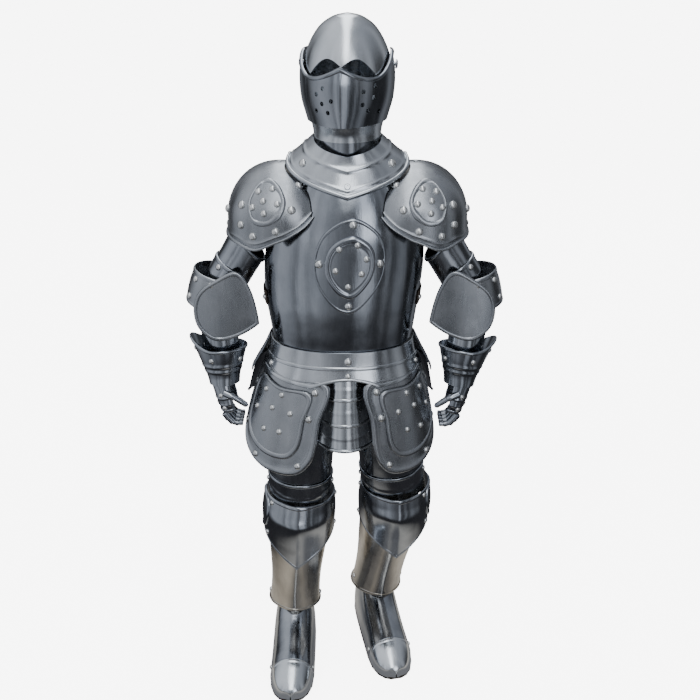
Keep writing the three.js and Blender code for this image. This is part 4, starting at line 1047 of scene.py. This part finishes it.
for side in SIDES:
    leg = LEGS[side]
    h, k, a = Vector(leg["hip"]), Vector(leg["knee"]), Vector(leg["ankle"])
    out = 1 if side == "left" else -1
    upper, lower = limb(k, h), limb(a, k, leg["toe_out"])
    joint = limb(k, h - a + k, leg["toe_out"] / 2)
    length = (a - k).length
    cuisse = tube(thigh, 196, 34, across=88, down=24, span=162)
    dress(f"cuisse_{side}_tube", moved(cuisse, upper), [f"cuisse_{side}"], STEEL)

    lame = lambda grow, n=64, m=16: plate(
        thigh, -112.5, 112.5, 64, 22, across=n, down=m, span=42, base=PLATE + GAP, grow=grow,
        bead_top=0 if grow else 0.9,
        relief=None if grow else lame_ridge,
    )
    knee_room = moved(plate(knee, -120, 120, 36, -70, across=48, down=16, span=106, grow=AIR), joint)
    dress(f"knee_lame_{side}_plate", moved(lame(0), upper), [f"knee_lame_{side}"], STEEL, rooms=[knee_room])
    for angle in (-82, 82):
        rivet(thigh, angle, 52, 2 * PLATE + GAP, 3.6, matrix=upper)

    knee_hem = lambda angle: -30 - 44 * bump(angle, 0, 80) ** 1.2
    cop = plate(knee, -120, 120, 34, knee_hem, across=96, down=40, span=90, bead_top=0.9, bead_bottom=0.7)
    wing = shield(
        knee, (88 * out, 4), [(angle * out, z) for angle, z in KNEE_WING], spokes=64, rings=12, size=26,
        base=PLATE - 0.3, thick=1.4, edge_bead=1.2, width=4, relief=lambda a, b, s: 0.8 * (1 - s * s),
    )
    shin_top = lambda angle: length - 14 - 6 * np.abs(np.sin(np.radians(angle)))
    shin_hem = lambda angle: 4.4 + 7 * np.cos(np.radians(angle))
    greave_room = tube(
        shin, lambda angle: shin_top(angle) + AIR, shin_hem, across=64, down=20, span=150, grow=AIR,
    )
    rooms = [moved(greave_room, lower), moved(lame(AIR, 40, 6), upper)]
    dress(f"poleyn_{side}_cop", moved(cop, joint), [f"poleyn_{side}"], STEEL, rooms=rooms)
    dress(f"poleyn_{side}_wing", moved(wing, joint), [f"poleyn_{side}"], STEEL)
    for angle, z in ((-92, 27), (-92, -24), (50, 27), (60, -26)):
        rivet(knee, angle * out, z, PLATE, 3.6, matrix=joint)

    greave = tube(shin, shin_top, shin_hem, across=110, down=40, span=150, bead_bottom=0.9)
    dress(f"greave_{side}_tube", moved(greave, lower), [f"greave_{side}"], SATIN)
    # the greaves take a warm tint: a painted reflection of the floor
    dressed[-1] = (dressed[-1][0], "greave")
    for angle in (88, -88):
        rivet(shin, angle, 18, PLATE, 3.6, matrix=lower)

    foot = Matrix.Translation((a.x, a.y - 1.2, 0)) @ Matrix.Rotation(np.radians(leg["toe_out"]), 4, "Z")
    ankle_room = tube(
        shin, shin_top, shin_hem, across=64, down=16, span=150, base=-28, thick=28 + PLATE, grow=AIR,
    )
    ankle_rod = moved(rod((0, 2, 62), (0, 2, 100), 29, 40), foot)
    shoe = shoe_plate(41.7, TOE_LINE + GAP / 2, 54)
    name = f"sabaton_{side}"
    dress(f"{name}_shoe", moved(shoe, foot), [name], STEEL, rooms=[ankle_rod, moved(ankle_room, lower)])
    cap = shoe_plate(TOE_LINE - GAP / 2, -147.7, 26, bead_top=0.6)
    dress(f"toe_cap_{side}_plate", moved(cap, foot), [f"toe_cap_{side}"], BRIGHT)
    for angle in (-74, 74):
        rivet(shoe_form, angle, TOE_LINE + 7, 0, 3.2, matrix=foot)

print(len(dressed), "pieces so far")

# %% [markdown]
# ## Rivets
# Every rivet is the same domed head at a different place, so one Geometry Nodes tree sets a head on each
# point of a cloud, turned to the point's own direction. The heads could be copied one by one, but the tree
# keeps the head's shape in one place.

# %% Rivet heads from points
def add_node(tree, kind, inputs=None, **settings):
    """Adds a node; inputs are set by name or number, to a value or to another node's output."""
    made = tree.nodes.new(kind)
    for key, content in settings.items():
        setattr(made, key, content)
    for key, content in (inputs or {}).items():
        if isinstance(content, bpy.types.NodeSocket):
            tree.links.new(content, made.inputs[key])
        else:
            made.inputs[key].default_value = content
    return made


def rivet_tree():
    tree = bpy.data.node_groups.new("rivet_heads", "GeometryNodeTree")
    face = tree.interface
    face.new_socket("Points", in_out="INPUT", socket_type="NodeSocketGeometry")
    face.new_socket("Head Height", in_out="INPUT", socket_type="NodeSocketFloat").default_value = 0.66
    face.new_socket("Head Sides", in_out="INPUT", socket_type="NodeSocketInt").default_value = 18
    face.new_socket("Finish", in_out="INPUT", socket_type="NodeSocketMaterial")
    face.new_socket("Heads", in_out="OUTPUT", socket_type="NodeSocketGeometry")
    given = add_node(tree, "NodeGroupInput")
    ball = add_node(
        tree, "GeometryNodeMeshUVSphere",
        {"Segments": given.outputs["Head Sides"], "Rings": 10, "Radius": 1.0},
    )
    flat = add_node(tree, "ShaderNodeCombineXYZ", {"X": 1.0, "Y": 1.0, "Z": given.outputs["Head Height"]})
    low = add_node(
        tree, "GeometryNodeTransform",
        {"Geometry": ball.outputs["Mesh"], "Scale": flat.outputs["Vector"]},
    )
    out = add_node(tree, "GeometryNodeInputNamedAttribute", {"Name": "out"}, data_type="FLOAT_VECTOR")
    radius = add_node(tree, "GeometryNodeInputNamedAttribute", {"Name": "radius"}, data_type="FLOAT")
    turn = add_node(tree, "FunctionNodeAlignRotationToVector", {"Vector": out.outputs["Attribute"]}, axis="Z")
    copies = add_node(
        tree, "GeometryNodeInstanceOnPoints",
        {
            "Points": given.outputs["Points"], "Instance": low.outputs["Geometry"],
            "Rotation": turn.outputs["Rotation"], "Scale": radius.outputs["Attribute"],
        },
    )
    real = add_node(tree, "GeometryNodeRealizeInstances", {"Geometry": copies.outputs["Instances"]})
    smoothed = add_node(tree, "GeometryNodeSetShadeSmooth", {"Geometry": real.outputs["Geometry"]})
    coated = add_node(
        tree, "GeometryNodeSetMaterial",
        {"Geometry": smoothed.outputs["Geometry"], "Material": given.outputs["Finish"]},
    )
    add_node(tree, "NodeGroupOutput", {"Heads": coated.outputs["Geometry"]})
    return tree


heads = rivet_tree()
sockets = {item.name: item.identifier for item in heads.interface.items_tree if item.in_out == "INPUT"}
for ride, places in rivets.items():
    cloud = bpy.data.meshes.new(f"rivets_{ride}")
    cloud.from_pydata([tuple((foot + MIDDLE) * 0.001) for foot, _, _ in places], [], [])
    outs = cloud.attributes.new("out", "FLOAT_VECTOR", "POINT")
    outs.data.foreach_set("vector", np.concatenate([o for _, o, _ in places]))
    radii = cloud.attributes.new("radius", "FLOAT", "POINT")
    radii.data.foreach_set("value", [r * 0.001 for _, _, r in places])
    obj = bpy.data.objects.new(f"rivets_{ride}", cloud)
    bpy.context.scene.collection.objects.link(obj)
    modifier = obj.modifiers.new("heads", "NODES")
    modifier.node_group = heads
    modifier[sockets["Head Height"]] = 0.7
    baked(obj)
    for name in ("out", "radius"):
        if name in obj.data.attributes:
            obj.data.attributes.remove(obj.data.attributes[name])
    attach(obj, ride)
    dressed.append((obj, "rivet"))
    print(len(places), "rivets on", ride)

# %% [markdown]
# ## Steel and leather
# Polished sheet steel shows what stands round it, bent by shallow hammer dents. Six finishes are used: the
# mill-polished plates, the satin ones that were brushed after riveting, the bright helmet and toe caps, a
# lighter copy of the steel on the collar and belt that is a painted highlight, the greaves tinted warm as a
# painted reflection of the floor, and the small rivet heads. Only the roughness, the tint and the brushing
# differ, so one function makes them all. The straps are dark waxed leather.

# %% Finishes
def linear(code):
    channels = [int(code[i : i + 2], 16) / 255 for i in (1, 3, 5)]
    return (*[c / 12.92 if c <= 0.04045 else ((c + 0.055) / 1.055) ** 2.4 for c in channels], 1)


def material(name):
    made = bpy.data.materials.new(name)
    made.use_nodes = True
    made.node_tree.nodes.clear()
    tree = made.node_tree
    shader = add_node(tree, "ShaderNodeBsdfPrincipled")
    add_node(tree, "ShaderNodeOutputMaterial", {"Surface": shader.outputs["BSDF"]})
    place = add_node(tree, "ShaderNodeTexCoord")
    return made, tree, shader, place.outputs["Object"]


def pattern(tree, place, size_mm, detail=4.0, stretch=(1, 1, 1), rough=0.55):
    """Noise whose blotches are about size_mm across."""
    scale = [1000 / (size_mm * s) for s in stretch]
    spread = add_node(tree, "ShaderNodeMapping", {"Vector": place, "Scale": scale})
    noise = add_node(
        tree, "ShaderNodeTexNoise",
        {"Vector": spread.outputs["Vector"], "Scale": 1.0, "Detail": detail, "Roughness": rough},
    )
    return noise.outputs["Fac"]


def ranged(tree, source, low, high, start=0.3, end=0.7):
    made = add_node(
        tree, "ShaderNodeMapRange",
        {"Value": source, "From Min": start, "From Max": end, "To Min": low, "To Max": high},
    )
    return made.outputs["Result"]


def sheet_steel(name, light, dark, rough, brush=0.1, dents=0.25, blotch_mm=42, dent_mm=46):
    made, tree, shader, place = material(name)
    cloud = pattern(tree, place, blotch_mm, 5, (1, 1, 1.7))
    # a faint cloudy tint, where the wax and the polish lie unevenly
    tint = add_node(
        tree, "ShaderNodeMix", {0: ranged(tree, cloud, 0, 1), 6: linear(dark), 7: linear(light)},
        data_type="RGBA",
    )
    # smears a finger long make some patches duller than others
    smear = pattern(tree, place, 14, 6, (1, 1, 2.6), 0.65)
    polish = add_node(
        tree, "ShaderNodeMath",
        {0: ranged(tree, smear, rough * 0.72, rough * 1.3), 1: ranged(tree, cloud, -0.02, 0.03)},
        operation="ADD",
    )
    # shallow dents from the hammer bend each reflection
    hammer = pattern(tree, place, dent_mm, 1.5)
    dented = add_node(tree, "ShaderNodeBump", {"Height": hammer, "Strength": dents, "Distance": 0.004})
    # long soft ripples from the rolling draw reflections out into upright bands
    ripple = pattern(tree, place, 11, 2, (1, 1, 14), 0.5)
    rolled = add_node(
        tree, "ShaderNodeBump",
        {"Height": ripple, "Strength": dents * 0.9, "Distance": 0.0009, "Normal": dented.outputs["Normal"]},
    )
    # fine upright strokes of the polishing belt
    strokes = pattern(tree, place, 0.9, 3, (1, 1, 60), 0.6)
    brushed = add_node(
        tree, "ShaderNodeBump",
        {"Height": strokes, "Strength": brush, "Distance": 0.0003, "Normal": rolled.outputs["Normal"]},
    )
    tree.links.new(tint.outputs[2], shader.inputs["Base Color"])
    tree.links.new(polish.outputs["Value"], shader.inputs["Roughness"])
    tree.links.new(brushed.outputs["Normal"], shader.inputs["Normal"])
    shader.inputs["Metallic"].default_value = 1.0
    return made


def waxed_leather(name):
    made, tree, shader, place = material(name)
    grain = pattern(tree, place, 1.6, 5, rough=0.6)
    wear = pattern(tree, place, 16, 4)
    tint = add_node(
        tree, "ShaderNodeMix", {0: ranged(tree, wear, 0, 1), 6: linear("#16120f"), 7: linear("#33291f")},
        data_type="RGBA",
    )
    bumped = add_node(tree, "ShaderNodeBump", {"Height": grain, "Strength": 0.4, "Distance": 0.0006})
    tree.links.new(tint.outputs[2], shader.inputs["Base Color"])
    tree.links.new(ranged(tree, grain, 0.45, 0.7), shader.inputs["Roughness"])
    tree.links.new(bumped.outputs["Normal"], shader.inputs["Normal"])
    return made


finishes = {
    STEEL: sheet_steel("polished_sheet_steel", "#b0b4ba", "#8f949b", 0.14, 0.14, 0.25),
    SATIN: sheet_steel("satin_brushed_steel", "#b4b7bb", "#989ca1", 0.28, 0.16, 0.14),
    BRIGHT: sheet_steel("bright_polished_steel", "#e2e6ea", "#cdd2d7", 0.19, 0.1, 0.1),
    # a lighter copy of the steel for the collar, belt and fauld lame: a painted highlight
    "belt": sheet_steel("lighter_steel_painted_highlight", "#d6dade", "#b9bdc2", 0.17, 0.12, 0.18),
    # the greaves' warm tint is a painted reflection of the warm floor, not a colour of the steel
    "greave": sheet_steel("greave_steel_painted_floor_reflection", "#cbc6bd", "#a29d95", 0.18, 0.12, 0.3),
    "rivet": sheet_steel("domed_rivet_steel", "#f0f0ee", "#d4d5d4", 0.24, 0.0, 0.0),
    LEATHER: waxed_leather("waxed_dark_leather"),
}
for obj, finish in dressed:
    obj.data.materials.clear()
    obj.data.materials.append(finishes[finish])
for name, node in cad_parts.items():
    if name.startswith(("sole", "thigh_strap")):
        for slot in node.material_slots:
            slot.material = finishes[LEATHER]

# %% [markdown]
# ## Floor, light and camera
# Polished steel is only as good as what it reflects. The plates see a room of bright windows and dark
# walls by compass direction, a ceiling with one strip lamp, and a warm patch of carpet round the feet,
# darkened close round each foot as a painted shadow. Only reflections see that room: the camera sees a white
# floor and a white sky, and three large soft lights give the rest. The camera stands where the photograph was
# taken from: above the helmet and close, looking down.

# %% What the plates see around them
ROOM = [
    (-180, 0.1), (-150, 0.24), (-128, 0.03), (-110, 0.45), (-88, 0.8), (-66, 0.7), (-54, 0.34),
    (-46, 1.0), (-36, 0.44), (-26, 0.74), (-12, 0.36), (9, 0.14), (14, 2.5), (25, 2.6), (31, 0.16),
    (40, 0.06), (46, 0.46), (52, 0.06), (66, 0.42), (76, 0.3), (86, 0.04), (112, 0.06), (128, 0.36),
    (146, 0.14), (180, 0.1),
]


def room_bands(tree, x, y, brightest=3.0):
    """Bright windows and dark walls by compass direction, 0 degrees being the front."""
    front = add_node(tree, "ShaderNodeMath", {0: y, 1: -1.0}, operation="MULTIPLY")
    turn = add_node(tree, "ShaderNodeMath", {0: x, 1: front.outputs["Value"]}, operation="ARCTAN2")
    around = ranged(tree, turn.outputs["Value"], 0, 1, -np.pi, np.pi)
    ramp = add_node(tree, "ShaderNodeValToRGB", {"Fac": around})
    stops = ramp.color_ramp.elements
    while len(stops) < len(ROOM):
        stops.new(0.5)
    for stop, (angle, light) in zip(stops, ROOM):
        stop.position = (angle + 180) / 360
        shown = min(light, brightest)
        stop.color = (shown * 0.94, shown * 0.98, shown * 1.06, 1)
    return ramp.outputs["Color"]


def blend(tree, factor, a, b):
    return add_node(tree, "ShaderNodeMix", {0: factor, 6: a, 7: b}, data_type="RGBA").outputs[2]


# %% Floor
floor_mesh = bpy.data.meshes.new("studio_floor")
FAR_EDGE, FLOOR_TOP = 30, -0.0004
floor_corners = [(x * FAR_EDGE, y * FAR_EDGE, FLOOR_TOP) for x, y in ((-1, -1), (1, -1), (1, 1), (-1, 1))]
floor_mesh.from_pydata(floor_corners, [], [(0, 1, 2, 3)])
floor = bpy.data.objects.new("studio_floor", floor_mesh)
bpy.context.scene.collection.objects.link(floor)
paper, tree, shader, place = material("studio_paper")
shader.inputs["Base Color"].default_value = linear("#f4f4f4")
shader.inputs["Roughness"].default_value = 0.9
shader.inputs["Emission Color"].default_value = (1, 1, 1, 1)
# a reflection sees a warm patch of carpet round the feet, darkened close round each foot as a painted shadow
# of the foot, and the dim room beyond it
spot = add_node(tree, "ShaderNodeSeparateXYZ", {"Vector": place})
far = add_node(tree, "ShaderNodeVectorMath", {0: place}, operation="LENGTH")
beyond = ranged(tree, far.outputs["Value"], 0, 1, 0.55, 0.95)
beside = add_node(tree, "ShaderNodeMath", {0: spot.outputs["X"]}, operation="ABSOLUTE")
forward = add_node(tree, "ShaderNodeMath", {0: spot.outputs["Y"], 1: 0.45}, operation="MULTIPLY")
foot_point = add_node(
    tree, "ShaderNodeCombineXYZ", {"X": beside.outputs["Value"], "Y": forward.outputs["Value"]},
)
FOOT_MIDDLE = (0.07, -0.02, 0)
from_foot = add_node(
    tree, "ShaderNodeVectorMath", {0: foot_point.outputs["Vector"], 1: FOOT_MIDDLE}, operation="DISTANCE",
)
outside_foot_shadow = ranged(tree, from_foot.outputs["Value"], 0, 1, 0.05, 0.1)
off_carpet = ranged(tree, far.outputs["Value"], 0, 1, 0.21, 0.31)
pile = blend(tree, off_carpet, (0.8, 0.76, 0.69, 1), (0.05, 0.05, 0.055, 1))
# close round each foot the carpet turns dark grey: a painted shadow of the foot
carpet_and_foot_shadow = blend(tree, outside_foot_shadow, (0.26, 0.26, 0.27, 1), pile)
dim = blend(tree, beyond, carpet_and_foot_shadow, room_bands(tree, spot.outputs["X"], spot.outputs["Y"], 0.9))
glow = add_node(tree, "ShaderNodeEmission", {"Color": dim, "Strength": 0.85})
rays = add_node(tree, "ShaderNodeLightPath")
# the camera sees white paper, while the plates and straps get only its soft light
white = add_node(
    tree, "ShaderNodeMath", {0: rays.outputs["Is Camera Ray"], 1: 6.0, 2: 0.5}, operation="MULTIPLY_ADD",
)
tree.links.new(white.outputs["Value"], shader.inputs["Emission Strength"])
seen = add_node(
    tree, "ShaderNodeMixShader",
    {0: rays.outputs["Is Glossy Ray"], 1: shader.outputs[0], 2: glow.outputs[0]},
)
output = next(node for node in tree.nodes if node.type == "OUTPUT_MATERIAL")
tree.links.new(seen.outputs[0], output.inputs["Surface"])
floor.data.materials.append(paper)

# %% Sky
world = bpy.context.scene.world or bpy.data.worlds.new("studio_sky")
bpy.context.scene.world = world
world.use_nodes = True
sky = world.node_tree
sky.nodes.clear()
direction = add_node(sky, "ShaderNodeTexCoord")
parts = add_node(sky, "ShaderNodeSeparateXYZ", {"Vector": direction.outputs["Generated"]})
walls = room_bands(sky, parts.outputs["X"], parts.outputs["Y"])
left_to_right = ranged(sky, parts.outputs["X"], 0, 1, -0.35, 0.45)
vault = blend(sky, left_to_right, (0.84, 0.87, 0.92, 1), (0.34, 0.36, 0.4, 1))
ceiling = blend(sky, ranged(sky, parts.outputs["Z"], 0, 1, 0.15, 0.8), walls, vault)
side = add_node(sky, "ShaderNodeMath", {0: parts.outputs["X"]}, operation="ABSOLUTE")
lamp = ranged(sky, side.outputs["Value"], 1, 0, 0.08, 0.17)
ahead = ranged(sky, parts.outputs["Z"], 0, 1, 0.3, 0.5)
strip = add_node(sky, "ShaderNodeMath", {0: lamp, 1: ahead}, operation="MULTIPLY")
lit = blend(sky, strip.outputs["Value"], ceiling, (3.3, 3.4, 3.5, 1))
glow = add_node(sky, "ShaderNodeBackground", {"Color": lit, "Strength": 1.0})
rays = add_node(sky, "ShaderNodeLightPath")
white = add_node(
    sky, "ShaderNodeMath", {0: rays.outputs["Is Camera Ray"], 1: 5.5, 2: 1.0}, operation="MULTIPLY_ADD",
)
plain = add_node(sky, "ShaderNodeBackground", {"Color": (1, 1, 1, 1), "Strength": white.outputs["Value"]})
both = add_node(
    sky, "ShaderNodeMixShader",
    {0: rays.outputs["Is Glossy Ray"], 1: plain.outputs[0], 2: glow.outputs[0]},
)
add_node(sky, "ShaderNodeOutputWorld", {"Surface": both.outputs[0]})

# %% Lights
def softbox(name, place, aim, width, height, watts, tint="#ffffff"):
    lamp = bpy.data.lights.new(name, "AREA")
    lamp.shape = "RECTANGLE"
    lamp.size, lamp.size_y = width, height
    lamp.energy = watts
    lamp.color = linear(tint)[:3]
    obj = bpy.data.objects.new(name, lamp)
    obj.location = place
    obj.visible_glossy = False
    obj.rotation_euler = (Vector(aim) - Vector(place)).to_track_quat("-Z", "Y").to_euler()
    bpy.context.scene.collection.objects.link(obj)


softbox("key_left", (-1.7, -1.6, 2.1), (0, 0, 0.5), 0.9, 1.2, 26)
softbox("fill_right", (2.2, -1.0, 1.5), (0, 0, 0.5), 0.4, 1.4, 9, "#dfe8ff")
softbox("back_rim", (0.6, 2.2, 1.8), (0, 0, 0.6), 1.2, 1.2, 14)

# %% Camera
lens = bpy.data.cameras.new("photo_camera")
lens.lens = 46.03
lens.sensor_width = 36
camera = bpy.data.objects.new("photo_camera", lens)
camera.location = tuple((np.array([3, -1080, 1010]) + MIDDLE) * 0.001)
camera.rotation_euler = (np.radians(64.15), 0, 0)
bpy.context.scene.collection.objects.link(camera)
bpy.context.scene.camera = camera
